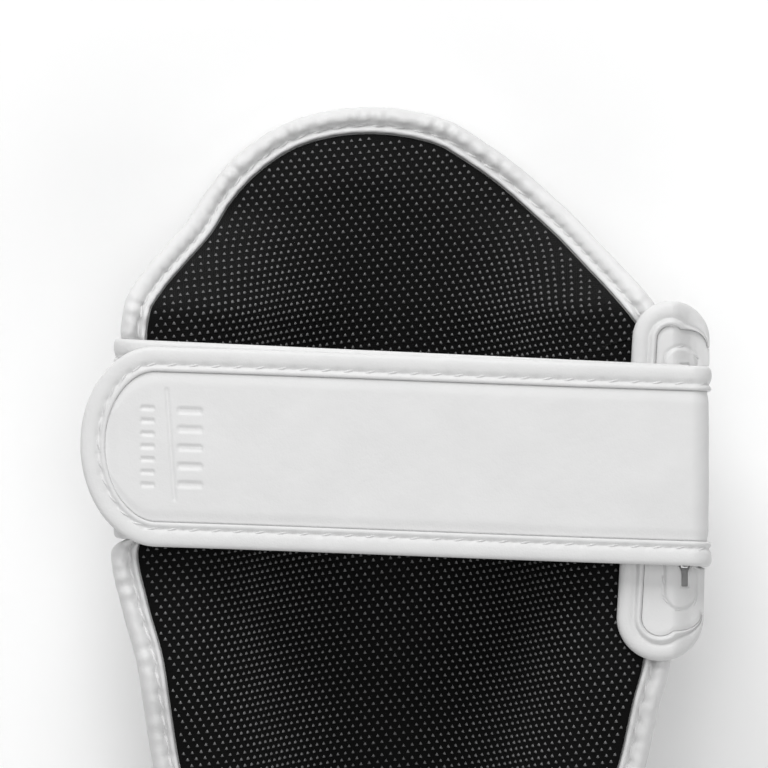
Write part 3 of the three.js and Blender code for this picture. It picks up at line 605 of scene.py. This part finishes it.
def buildRim():
    around, length = evenAround(roll["stations"])
    point, inward, seam, middle = rimFrame(around)
    stitches = round(length / roll["stitch"])
    phase = np.arange(len(around)) / len(around) * stitches
    hole = np.abs(phase - np.round(phase))
    dip = roll["stitchDip"] * np.exp(-((hole / 0.17) ** 2))
    bend = np.linalg.norm(np.roll(inward, -6, 0) - np.roll(inward, 6, 0), axis=1)
    bend = np.convolve(np.concatenate([bend[-20:], bend, bend[:20]]), np.ones(41) / 41, "valid")
    gather = roll["pucker"] * (0.25 + np.minimum(bend * 9, 1.3))
    # more gathers where the rim comes out from under a strap
    for closure in closures:
        beyond = np.abs(point[:, 1] - strapMiddle(closure)) - closure["width"] / 2 - 2
        gather = gather + np.where(point[:, 0] < 0, 0.3 * np.exp(-((beyond / 5) ** 2)), 0)
    s = np.arange(len(around)) * length / len(around)
    waves = ripple(s, s * 0, 3.6, 12)
    slow = ripple(s, s * 0, 26.0, 5)
    insets = np.array([p[0] for p in rollProfile])
    heights = np.array([p[1] for p in rollProfile])
    valley = np.exp(-(((insets - roll["seam"]) / 0.45) ** 2))
    crown = smooth(heights / 4.1) * (1 - valley) * (insets < roll["seam"])
    besides = np.exp(-(((insets - 3.9) / 0.7) ** 2)) + np.exp(-(((insets - 5.3) / 0.5) ** 2))
    topHeights = heights[None] - dip[:, None] * (0.5 * valley + 0.8 * besides)[None]
    # each stitch draws the lip and the roll's inner flank into a slanted pucker
    slant = np.sin(2 * math.pi * (phase[:, None] - 0.16 * insets[None]))
    lip = np.exp(-(((insets - 5.8) / 0.5) ** 2)) + 0.7 * np.exp(-(((insets - 3.3) / 0.8) ** 2))
    topHeights = topHeights + slant * lip[None] * (0.04 + 0.55 * gather)[:, None]
    topHeights = topHeights + (gather * waves)[:, None] * crown[None] + 0.12 * slow[:, None] * crown[None]
    bottomHeights = -(heights[None] + 0.12 * np.roll(slow, 40)[:, None] * crown[None])
    flangeRoom = rim["flange"] / 2 + guard["gap"]
    outerWave = (0.1 * slow + 0.12 * gather * waves)[:, None] * np.exp(-((insets / 1.6) ** 2))[None]
    scallop = 0.5 * (np.abs(np.sin(math.pi * phase)) - 0.6)
    outerWave = outerWave + scallop[:, None] * np.exp(-(((insets - roll["seam"]) / 0.7) ** 2))[None]
    rows = []
    for values, order in ((topHeights, slice(None)), (bottomHeights, slice(None, None, -1))):
        place = point[:, None] + inward[:, None] * (insets[None] + outerWave)[..., None]
        rows.append(toSpace(place[..., 0], place[..., 1], middle[:, None] + values)[:, order])
    rows[1] = rows[1][:, 1:]
    wall = rim["wall"] + guard["gap"]
    lipInset = rim["width"] - 0.1
    for inset, height in ((lipInset, -flangeRoom), (wall, -flangeRoom), (wall, flangeRoom), (lipInset, flangeRoom)):
        place = point + inward * inset
        rows.append(toSpace(place[:, 0], place[:, 1], middle + height)[:, None])
    stations = np.concatenate(rows, 1)
    count, columns = stations.shape[:2]
    faces = gridFaces(count, columns, wrapRows=True, wrapColumns=True)
    addMesh("rolled_rim", stations.reshape(-1, 3), faces, edgeLeather, ["edge_binding"])
    # one thread between each two holes, in the valley
    at = np.interp((np.arange(stitches) + 0.5) / stitches * len(around), np.arange(len(around)), around)
    point, inward, seam, middle = rimFrame(at)
    ahead = rimFrame(at + 0.001)
    place = point + inward * roll["seam"]
    nextPlace = ahead[0] + ahead[1] * roll["seam"]
    spot = pointsOf(place[:, 0], place[:, 1], middle + 2.45)
    along = pointsOf(nextPlace[:, 0], nextPlace[:, 1], ahead[3] + 2.45) - spot
    up = np.tile([0.0, 0.0, 1.0], (stitches, 1))
    buildThreads("rim_stitches", spot, along, up, 3.4, 0.3, 0.16)


buildRim()
print("rim made")


# Straps and tabs: a pad line's places, its front and the rim's middle, at some shares of its width
def padLineAt(down, left, shares):
    turn = turnOf(down / guard["length"])
    around = np.array([2 - turn if left else turn])
    _, _, seam, middle = rimFrame(around)
    spine = np.array([0, spineDown(turn)])
    reach = section["reach"](clampShare(seam[0, 1] / guard["length"])) * guard["halfWidth"]
    widest = max(abs(seam[0, 0]) / reach, 0.9)
    spots = spine[None] + (seam[0] - spine)[None] * (np.array(shares) / widest)[:, None]
    fromSeam = np.linalg.norm(spots - seam[0], axis=-1)
    leg, front = padHeights(spots[:, 0], spots[:, 1], fromSeam)
    return spots[:, 0], frontAtSeam(front, middle[0], fromSeam), middle[0]


def closureFrame(closure):
    top = wingTop(closure)
    _, _, middle = padLineAt(strapMiddle(closure), True, [0.5])
    hollow = closure["rightRim"] + 2 * guard["gap"]
    step = max(band["edgeThick"] + guard["gap"], band["thick"] + band["fastener"] + 2 * guard["gap"])
    return dict(top=top, middle=middle, edgeTop=top + guard["gap"] + tab["edgeThick"], hollow=hollow,
                slot=(hollow, hollow + band["edgeThick"] + 3.4 * guard["gap"]), step=step)


def arcPoints(x, z, radius, start, end, steps):
    angle = np.radians(np.linspace(start, end, steps + 1))
    return np.stack([x + radius * np.cos(angle), z + radius * np.sin(angle)], -1)


# The strap's middle line in x and z: under the left wing, round the rim, over to the slot, back on top
def strapRoute(closure):
    at = closureFrame(closure)
    gap = guard["gap"]
    half = band["edgeThick"] / 2
    shares = np.linspace(0.55, 0.76, 16)
    x, front, _ = padLineAt(strapMiddle(closure), True, shares)
    way = np.stack([np.gradient(x), np.gradient(front)], -1)
    way /= np.linalg.norm(way, axis=1, keepdims=True)
    tail = np.stack([x, front], -1) + np.stack([-way[:, 1], way[:, 0]], -1) * (half + gap + 0.1)
    rollRadius = rim["height"] / 2 + 1.4
    fold = arcPoints(-closure["leftRim"] - 2.6 * gap + rollRadius - 1, at["middle"], rollRadius + half, 270, 90, 30)
    baseZ = at["edgeTop"] + gap + half
    downX = at["slot"][0] + 2.2 * gap + half
    bend = half + 3 * gap
    over = arcPoints(downX - bend, baseZ - bend, bend, 90, 0, 10)
    straight = np.array([[closure["rightRim"] - 0.7 * tab["wideLow"], baseZ]])
    barMiddle = at["slot"][1] + tab["bar"] / 2
    loop = barMiddle - downX
    under = arcPoints(barMiddle, at["middle"] - 3.4, loop, 180, 360, 20)
    topZ = baseZ + at["step"]
    back = half + 7.6 * gap
    overAgain = arcPoints(downX + 2 * loop - back, topZ - back, back, 0, 90, 16)
    fall = (baseZ - fold[-1, 1]) / (straight[0, 0] - fold[-1, 0])
    above = np.array([straight[0, 0], topZ])
    tip = np.array([-closure["tip"], topZ - fall * (above[0] + closure["tip"])])
    points = np.concatenate([tail, fold, straight, over, under, overAgain, [above, tip]])
    slotIndex = len(tail) + len(fold) + len(straight) + len(over)
    return points, slotIndex


class StrapSpace:
    def __init__(self, closure):
        self.closure = closure
        points, slotIndex = strapRoute(closure)
        lengths = np.concatenate([[0], np.cumsum(np.linalg.norm(np.diff(points, axis=0), axis=1))])
        self.total, self.slotAt = lengths[-1], lengths[slotIndex]
        way = np.diff(points, axis=0)
        way /= np.linalg.norm(way, axis=1, keepdims=True)
        middle = np.concatenate([way[:1], way[:-1] + way[1:], way[-1:]])
        middle /= np.linalg.norm(middle, axis=1, keepdims=True)
        before = np.concatenate([way[:1], way])
        normals = np.stack([-middle[:, 1], middle[:, 0]], -1)
        normals /= np.maximum((middle * before).sum(1), 0.5)[:, None]
        self.lengths, self.points, self.normals = lengths, points, normals

    def place(self, along, across, off):
        along, across, off = np.broadcast_arrays(*map(np.asarray, (along, across, off)))
        x, z = (np.interp(along, self.lengths, self.points[:, i]) for i in (0, 1))
        beyond = along - self.total
        nx, nz = (np.interp(along, self.lengths, self.normals[:, i]) for i in (0, 1))
        way = self.points[-1] - self.points[-2]
        way = way / np.linalg.norm(way)
        x = x + np.maximum(beyond, 0) * way[0]
        z = z + np.maximum(beyond, 0) * way[1]
        lean = np.where(along < self.slotAt, self.closure["baseLean"] * (self.slotAt - along),
                        self.closure["topLean"] * (along - self.slotAt))
        settled = smooth((along - self.slotAt) / 14) * (1 - smooth((along - self.slotAt - 40) / 110))
        lean = lean - 0.5 * settled
        return toSpace(x + nx * off, self.closure["slot"] - lean - across, z + nz * off)


strapProfile = [
    # inset from the edge, height off the middle: outer roll, stitched valley, lip
    (0.0, 0.0), (0.08, 0.5), (0.4, 0.95), (1.0, 1.22), (1.9, 1.3), (2.9, 1.26), (3.7, 1.08), (4.2, 0.82),
    (4.45, 0.7), (4.75, 0.8), (5.1, 1.08), (5.5, 1.2), (5.9, 1.12), (6.15, 0.85), (6.2, 0.4),
]
strapEdge = dict(seam=4.45, crown=1.3, hole=0.35, threadLift=0.74, thread=3.2)
sewn = dict(start=0.1, rows=(2.2, 7.0), dense=9.0, pitch=4.2, lift=0.66)
marks = dict(depth=0.4, soft=0.5, designWidth=50.0, reach=24.0)
# Plain pressed marks at the tip: distance from the tip, across, half lengths, turn
pressedMarks = [(22.6, 0.6, 0.3, 14.0, 0.07)]
pressedMarks += [(27.4, -9.2 + 4.6 * i, 3.1, 0.75, 0.0) for i in range(5)]
pressedMarks += [(16.8, -9.6 + 3.2 * i, 1.7, 0.5, 0.0) for i in range(7)]


def roundedBox(a, c, mark):
    ca, cc, halfA, halfC, turn = mark
    x = (a - ca) * math.cos(turn) + (c - cc) * math.sin(turn)
    y = -(a - ca) * math.sin(turn) + (c - cc) * math.cos(turn)
    corner = min(halfA, halfC) * 0.7
    dx, dy = np.abs(x) - halfA + corner, np.abs(y) - halfC + corner
    outside = np.hypot(np.maximum(dx, 0), np.maximum(dy, 0))
    return outside + np.minimum(np.maximum(dx, dy), 0) - corner


# Outline of the strap: one side, the round tip, the other side, with the way inwards
def strapOutline(closure, space, step):
    half = closure["width"] / 2
    start = space.total - band["tipDepth"]
    stops = np.unique(np.concatenate([np.arange(0, start, step), [start], space.lengths[:-2]]))
    stops = stops[np.concatenate([[True], np.diff(stops) > 0.08])]
    angle = np.radians(np.linspace(0, 180, 130)[1:-1])
    sideAlong = np.concatenate([stops, start + band["tipDepth"] * np.sin(angle), stops[::-1]])
    sideAcross = np.concatenate([np.full(len(stops), half), half * np.cos(angle), np.full(len(stops), -half)])
    outward = np.stack([half * np.sin(angle), band["tipDepth"] * np.cos(angle)], -1)
    outward /= np.linalg.norm(outward, axis=1, keepdims=True)
    straight = np.zeros((len(stops), 2))
    inAlong = np.concatenate([straight[:, 0], -outward[:, 0], straight[:, 0]])
    inAcross = np.concatenate([straight[:, 0] - 1, -outward[:, 1], straight[:, 0] + 1])
    return sideAlong, sideAcross, inAlong, inAcross


def buildStrapEdge(closure, space):
    along, across, inAlong, inAcross = strapOutline(closure, space, closure["edgeStep"])
    travelled = np.concatenate([[0], np.cumsum(np.hypot(np.diff(along), np.diff(across)))])
    stitches = round(travelled[-1] / roll["stitch"])
    phase = travelled / travelled[-1] * stitches
    hole = np.exp(-((np.abs(phase - np.round(phase)) / 0.15) ** 2)) * strapEdge["hole"]
    insets = np.array([p[0] for p in strapProfile])
    heights = np.array([p[1] for p in strapProfile])
    valley = np.exp(-(((insets - strapEdge["seam"]) / 0.5) ** 2))
    plump = smooth(heights / strapEdge["crown"])
    crown = plump * (insets < strapEdge["seam"] - 0.25)
    waves = ripple(travelled, travelled * 0, 5.0, 21) * 0.05 + ripple(travelled, travelled * 0, 30.0, 8) * 0.06
    top = heights[None] - hole[:, None] * valley[None] + waves[:, None] * crown[None]
    # the edge swells where it turns back at the tab
    swelled = 0.4 * np.exp(-(((along - space.slotAt - 14) / 8) ** 2))
    low = -(heights[None] - hole[:, None] * valley[None] + swelled[:, None] * plump[None])
    offs = np.concatenate([top[:, ::-1], low[:, 1:]], 1)
    inset = np.concatenate([insets[::-1], insets[1:]])
    stations = space.place(along[:, None] + inAlong[:, None] * inset,
                           across[:, None] + inAcross[:, None] * inset, offs)
    verts, faces = tubeMesh(stations)
    addMesh(closure["name"] + "_strap_rolled_edge", verts, faces, edgeLeather,
            [closure["name"] + "_strap_edge"])
    middle = (np.arange(stitches) + 0.5) / stitches * travelled[-1]

    def onSeam(places, off):
        a, c, inA, inC = (np.interp(places, travelled, v) for v in (along, across, inAlong, inAcross))
        return space.place(a + inA * strapEdge["seam"], c + inC * strapEdge["seam"], off) / mm

    for side, name in ((1, "out"), (-1, "in")):
        lift = side * strapEdge["threadLift"]
        spot, far, above = onSeam(middle, lift), onSeam(middle + 0.4, lift), onSeam(middle, lift + side)
        buildThreads(closure["name"] + "_strap_stitches_" + name, spot, far - spot, above - spot,
                     strapEdge["thread"], 0.28, 0.3)


def buildBand(closure, space):
    inset = band["edge"] + 0.06
    start = space.total - band["tipDepth"]
    half = closure["width"] / 2
    marked = start - marks["reach"]
    # fine rows at the stitches and the pressed marks, coarse ones between
    rows = np.concatenate([np.arange(sewn["start"], sewn["dense"], 0.4), np.arange(sewn["dense"], marked, 2.0),
                           np.arange(marked, start, 0.4), space.lengths[space.lengths > sewn["start"]][:-1]])
    rows = np.unique(rows)
    rows = rows[np.concatenate([[True], np.diff(rows) > 0.15])]
    rows = rows[rows < start - 0.1]
    angles = np.radians(np.linspace(0, 88, 60))
    outward = np.stack([half * np.sin(angles), band["tipDepth"] * np.cos(angles)], -1)
    outward /= np.linalg.norm(outward, axis=1, keepdims=True)
    tipAlong = start + band["tipDepth"] * np.sin(angles) - outward[:, 0] * inset
    tipAcross = half * np.cos(angles) - outward[:, 1] * inset
    alongs = np.concatenate([rows, tipAlong])
    widths = np.concatenate([np.full(len(rows), half - inset), np.maximum(tipAcross, 0.3)])
    columns = closure["columns"]
    spread = np.linspace(-1, 1, columns)
    spread = spread * 0.86 + 0.14 * np.sign(spread) * np.abs(spread) ** 3
    spread = spread / spread[-1]
    across = widths[:, None] * spread[None]
    along = np.repeat(alongs[:, None], columns, 1)
    fromEdge = widths[:, None] * (1 - np.abs(spread[None]))
    toTip = (space.total - inset - along) * 0.9
    fromEdge = np.minimum(fromEdge, np.maximum(toTip, 0))
    fromEdge = np.minimum(fromEdge, along - sewn["start"])
    # two rows of stitches hold the sewn end
    sewnRows = sum(np.exp(-(((along - place) / 0.4) ** 2)) for place in sewn["rows"]) * 0.3
    swell = 0.5 + 0.38 * smooth(fromEdge / 3.2)
    soft = ripple(along, across, 34.0, 31) * 0.15 + ripple(along, across, 11.0, 33) * 0.05
    soft = soft * smooth(fromEdge / 5)
    pressed = np.zeros(along.shape)
    for mark in pressedMarks:
        gapTo = roundedBox(space.total - along, across * (marks["designWidth"] / closure["width"]), mark)
        pressed = np.maximum(pressed, smooth(0.5 - gapTo / marks["soft"]) * marks["depth"])
    upSide = swell + soft
    topLayer = space.place(along, across, -(upSide - pressed))
    lowLayer = space.place(along, across, upSide - sewnRows)
    rowCount = len(alongs)
    verts = np.concatenate([topLayer.reshape(-1, 3), lowLayer.reshape(-1, 3)])
    faces = gridFaces(rowCount, columns)
    count = rowCount * columns
    faces += [tuple(i + count for i in face[::-1]) for face in faces]
    border = [(0, j) for j in range(columns)] + [(i, columns - 1) for i in range(1, rowCount)]
    border += [(rowCount - 1, j) for j in range(columns - 2, -1, -1)]
    border += [(i, 0) for i in range(rowCount - 2, 0, -1)]
    border = [i * columns + j for i, j in border]
    for a, b in zip(border, border[1:] + border[:1]):
        faces.append((a, b, b + count, a + count))
    addMesh(closure["name"] + "_strap_band", verts, faces, strapLeather,
            [closure["name"] + "_strap"])


def buildFastener(closure, space):
    at = closureFrame(closure)
    low = (at["step"] - band["fastener"]) / 2
    reach = closure["leftRim"] + closure["rightRim"]
    across = closure["width"] / 2 - band["edge"] - 2 * guard["gap"] - 1
    a, b = (space.slotAt - reach * share for share in (0.86, 0.34))
    alongs = np.linspace(a, b, 60)
    ring = [(-across, low + 0.15), (-across + 0.4, low), (across - 0.4, low), (across, low + 0.15),
            (across, low + 0.85), (across - 0.4, low + 1), (-across + 0.4, low + 1), (-across, low + 0.85)]
    stations = np.stack([space.place(alongs, c, o) for c, o in ring], 1)
    verts, faces = tubeMesh(stations)
    addMesh(closure["name"] + "_strap_hook_patch", verts, faces, hookTape,
            [closure["name"] + "_strap_fastener"])


def buildSewnEnd(closure, space):
    half = closure["width"] / 2 - band["edge"] - 1.6
    count = round(2 * half / sewn["pitch"])
    across = np.tile(np.linspace(-half, half, count), 2)
    along = np.repeat(sewn["rows"], count)
    spot, above = (space.place(along, across, off) / mm for off in (sewn["lift"], sewn["lift"] + 1))
    ahead = space.place(along, across + 0.3, sewn["lift"]) / mm
    buildThreads(closure["name"] + "_sewn_end_stitches", spot, ahead - spot, above - spot, 2.9, 0.27, 0.15)


# A tab's lobe: two round ends joined by straight sides, as points and ways inwards
def lobeOutline(closure, above, steps):
    topRadius, lowRadius = tab["wide"] / 2, tab["wideLow"] / 2
    topX, topDown = closure["rightRim"] + tab["out"] - topRadius, closure["slot"] - above + topRadius
    lowX, lowDown = closure["rightRim"] + tab["outLow"] - lowRadius, closure["slot"] + closure["below"] - lowRadius
    parts = []
    # from the right side over the knee end, down the left side and round the low end
    for x, down, radius, start, end in ((topX, topDown, topRadius, 0, 180), (lowX, lowDown, lowRadius, 180, 360)):
        angle = np.radians(np.linspace(start, end, steps))
        parts.append(np.stack([x + radius * np.cos(angle), down - radius * np.sin(angle), np.cos(angle),
                               -np.sin(angle)], -1))
    left = np.linspace(0, 1, steps)[1:-1, None]
    parts.insert(1, parts[0][-1] * (1 - left) + parts[1][0] * left)
    parts[1][:, 2:] /= np.linalg.norm(parts[1][:, 2:], axis=1, keepdims=True)
    right = np.linspace(0, 1, 2 * steps)[1:-1, None]
    parts.append(parts[2][-1] * (1 - right) + parts[0][0] * right)
    outline = np.concatenate(parts)
    outline[:, 2:] *= -1
    return outline


tabProfile = smoothCurve([0, 0.25, 0.8, 1.8, 3.2, 3.9, 4.2, 4.6, 5.1, 5.5, 5.9, 6.2],
                         [0.5, 1.15, 1.75, 2.15, 2.15, 1.75, 1.55, 2.1, 2.62, 2.7, 2.4, 1.6])
tabInsets = [0, 0.12, 0.3, 0.6, 1.0, 1.6, 2.4, 3.2, 3.8, 4.2, 4.5, 4.8, 5.1, 5.4, 5.7, 5.95, 6.15, 6.2]


# Heights of a tab's outside and inside off the rim's middle; side 1 is the leg side, -1 the outside
def tabHeights(closure, x, side):
    at = closureFrame(closure)
    high = at["top"] + guard["gap"]
    if side < 0:
        high = 2 * at["middle"] - (min(at["top"] - guard["wing"], 2 * at["middle"] - at["top"]) - guard["gap"])
    rise = high - at["middle"]
    outer = smoothCurve([0, at["hollow"] - 1.5, at["slot"][1], closure["rightRim"] + tab["out"]],
                        [rise, rise, tab["nose"] + 1.3 - tab["thick"], tab["nose"] - tab["thick"]])(x)
    inner = smoothCurve([0, at["hollow"], at["hollow"] + 0.5, 200], [rise, rise, 0.05, 0.04])(x)
    return outer, inner, at["middle"]


def tabPoint(closure, x, down, off, side, inner=False):
    outer, inside, middle = tabHeights(closure, x, side)
    height = inside if inner else np.maximum(outer + off, inside + 0.3)
    return toSpace(x, down, middle + side * height)


def buildTab(closure, side):
    above = closure["above"] - (0 if side > 0 else 4)
    name = closure["name"] + ("_tab" if side > 0 else "_tab_back")
    lobe = lobeOutline(closure, above, closure["lobeSteps"] if side > 0 else tab["backSteps"])
    at = closureFrame(closure)
    # rolled edge, open where the tab folds over beside the strap
    topStart = closure["slot"] - closure["above"] + tab["wide"] / 2 + 2
    lowEnd = closure["slot"] + closure["below"] - tab["wideLow"] / 2 - 1
    isRight = lobe[:, 0] > closure["rightRim"] + tab["out"] - tab["wide"] / 2
    kept = ~(isRight & (lobe[:, 1] > topStart) & (lobe[:, 1] < lowEnd))
    first = np.where(~kept)[0]
    order = np.roll(np.arange(len(lobe)), -(first[-1] + 1))
    order = order[kept[order]]
    edge = lobe[order]
    insets = np.array(tabInsets)
    travelled = np.concatenate([[0], np.cumsum(np.linalg.norm(np.diff(edge[:, :2], axis=0), axis=1))])
    curl = ripple(travelled, travelled * 0, 9.0, 41 if side > 0 else 42) * 0.07
    taper = 0.1 + 0.9 * smooth(np.minimum(travelled, travelled[-1] - travelled) / 10.5)
    edgeWidths = np.full(len(lobe), 0.0)
    edgeWidths[order] = band["edge"] * taper
    spot = edge[:, None, :2] + edge[:, None, 2:] * (insets[None, :] * taper[:, None])[..., None]
    heights = tabProfile(insets)[None] + curl[:, None] * (insets < 4.4)[None] * smooth(insets / 1.5)[None]
    rows = tabPoint(closure, spot[..., 0], spot[..., 1], heights, side)
    under = spot[:, ::-1]
    low = tabPoint(closure, under[..., 0], under[..., 1], 0, side, inner=True)
    verts, faces = tubeMesh(np.concatenate([rows, low], 1))
    addMesh(name + "_rolled_edge", verts, faces, edgeLeather,
            [closure["name"] + "_tab_edge"] if side > 0 else ())
    # the patch, from the slot out to the rolled edge, or to the fold beside the strap
    outer = lobe[:, :2] + lobe[:, 2:] * np.where(kept, edgeWidths + 0.08, 0.05)[:, None]
    half = closure["width"] / 2
    inNotch = isRight & (outer[:, 1] > closure["slot"] - half - 0.1) & (outer[:, 1] < closure["slot"] + half + 0.2)
    outer[inNotch, 0] = at["slot"][1] + tab["bar"]
    slotTop = closure["slot"] - half - 0.57
    slotLow = closure["slot"] + half + (4.82 if side > 0 else 0.3)
    slotLeft, slotRight = at["slot"]
    centreX = (slotLeft + slotRight) / 2
    inner = np.empty_like(outer)
    inner[:, 1] = np.clip(outer[:, 1], slotTop, slotLow)
    # the slot draws together at its ends, beyond the strap
    openTop, openLow = (inner[:, 1] - slotTop) / 0.8, (slotLow - inner[:, 1] - 3.2) / 3.2
    openLow = openLow if side > 0 else openLow + 1
    halfSlot = (slotRight - slotLeft) / 2 * (0.45 + 0.55 * smooth(np.minimum(openTop, openLow)))
    inner[:, 0] = centreX + np.sign(outer[:, 0] - centreX) * halfSlot
    ends = (outer[:, 1] < slotTop) | (outer[:, 1] > slotLow)
    inner[ends, 0] = np.clip(centreX + (outer[ends, 0] - centreX) * 0.4, centreX - halfSlot[ends],
                             centreX + halfSlot[ends])
    shares = np.linspace(0, 1, 46 if side > 0 else 32)
    spots = inner[:, None] + (outer - inner)[:, None] * shares[None, :, None]
    x, down = spots[..., 0], spots[..., 1]
    # the stitched oval round the slot, raised inside
    ovalX, ovalRadius = closure["rightRim"] + 1.4, 4.25
    ovalTop, ovalLow = slotTop - 0.2, closure["slot"] + half + 6.4
    fromOval = np.hypot(x - ovalX, down - np.clip(down, ovalTop, ovalLow)) - ovalRadius
    groove = np.exp(-((fromOval / 0.5) ** 2)) * 0.5
    raised = 0.6 * smooth(0.5 - fromOval / 1.8)
    fromOuter = np.linalg.norm(outer - inner, axis=1)[:, None] * (1 - shares[None])
    droop = np.where(kept[:, None], -0.25 * (1 - smooth(fromOuter / 1.6)), 0)
    lipRound = -0.5 * (1 - smooth(np.linalg.norm(outer - inner, axis=1)[:, None] * shares[None] / 0.7))
    crease = ripple(x, down, 16.0, 51) * 0.1
    heights = tab["thick"] + raised - groove + droop + lipRound + crease
    top = tabPoint(closure, x, down, heights, side)
    low = tabPoint(closure, x, down, 0, side, inner=True)
    stations = np.concatenate([top, low[:, ::-1]], 1)
    count, columns = stations.shape[:2]
    faces = gridFaces(count, columns, wrapRows=True, wrapColumns=True)
    addMesh(name + "_patch", stations.reshape(-1, 3), faces, strapLeather,
            [closure["name"] + "_tab"] if side > 0 else ())
    # stitches in the oval's groove
    angle = np.radians(np.linspace(0, 360, 721))
    path = np.stack([ovalX + ovalRadius * np.cos(angle),
                     np.where(np.sin(angle) >= 0, ovalTop, ovalLow) - ovalRadius * np.sin(angle)], -1)
    travelled = np.concatenate([[0], np.cumsum(np.linalg.norm(np.diff(path, axis=0), axis=1))])
    stitches = round(travelled[-1] / 4.6)
    middles = (np.arange(stitches) + 0.5) / stitches * travelled[-1]
    spot = np.stack([np.interp(middles, travelled, path[:, i]) for i in (0, 1)], -1)
    ahead = np.stack([np.interp(middles + 0.3, travelled, path[:, i]) for i in (0, 1)], -1)
    off = tab["thick"] - 0.18
    a = tabPoint(closure, spot[:, 0], spot[:, 1], off, side) / mm
    b = tabPoint(closure, ahead[:, 0], ahead[:, 1], off, side) / mm
    up = np.tile([0, 0, float(side)], (len(a), 1))
    buildThreads(name + "_stitches", a, b - a, up, 3.0, 0.27, 0.2)


for closure in closures:
    space = StrapSpace(closure)
    buildStrapEdge(closure, space)
    buildBand(closure, space)
    buildFastener(closure, space)
    buildSewnEnd(closure, space)
    buildTab(closure, 1)
    buildTab(closure, -1)
    print(closure["name"], "closure made")

# Floor, light and camera as in the photograph: straight from the leg's side, light from the knee end
photo = dict(width=0.192, centre=(-0.00283, 0.09525), distance=7.0, sensor=36.0)
bpy.ops.mesh.primitive_plane_add(size=6.0, location=(0, 0, 0))
floor = bpy.context.object
floor.name = "floor"
floorMaterial, _, floorShader = newMaterial("paleFloor")
floorShader.inputs["Base Color"].default_value = fromHex("ffffff")
floorShader.inputs["Roughness"].default_value = 0.9
floor.data.materials.append(floorMaterial)

lightRows = [
    # name, place, aims at, size, watts
    ("keyFromKnee", (-0.25, 1.3, 1.0), (0, 0.05, 0.04), 0.9, 17.0),
    ("fillFromAnkle", (0.5, -1.3, 1.3), (0, 0.05, 0.04), 1.2, 7.5),
    ("topSoft", (0, 0.3, 2.1), (0, 0.05, 0.04), 1.0, 9.0),
]
for name, place, aim, size, watts in lightRows:
    lamp = bpy.data.lights.new(name, "AREA")
    lamp.shape = "SQUARE"
    lamp.size = size
    lamp.energy = watts
    holder = bpy.data.objects.new(name, lamp)
    holder.location = place
    holder.rotation_euler = (Vector(place) - Vector(aim)).to_track_quat("Z", "Y").to_euler()
    bpy.context.scene.collection.objects.link(holder)

world = bpy.data.worlds.new("paleWorld")
world.use_nodes = True
world.node_tree.nodes["Background"].inputs["Color"].default_value = (1, 1, 1, 1)
world.node_tree.nodes["Background"].inputs["Strength"].default_value = 0.3
bpy.context.scene.world = world
bpy.context.scene.view_settings.view_transform = "Standard"

cameraData = bpy.data.cameras.new("photoCamera")
cameraData.sensor_width = photo["sensor"]
cameraData.lens = photo["sensor"] * photo["distance"] / photo["width"]
cameraData.clip_end = 20  # metres
camera = bpy.data.objects.new("photoCamera", cameraData)
camera.location = (*photo["centre"], photo["distance"] + 0.062)
bpy.context.scene.collection.objects.link(camera)
bpy.context.scene.camera = camera
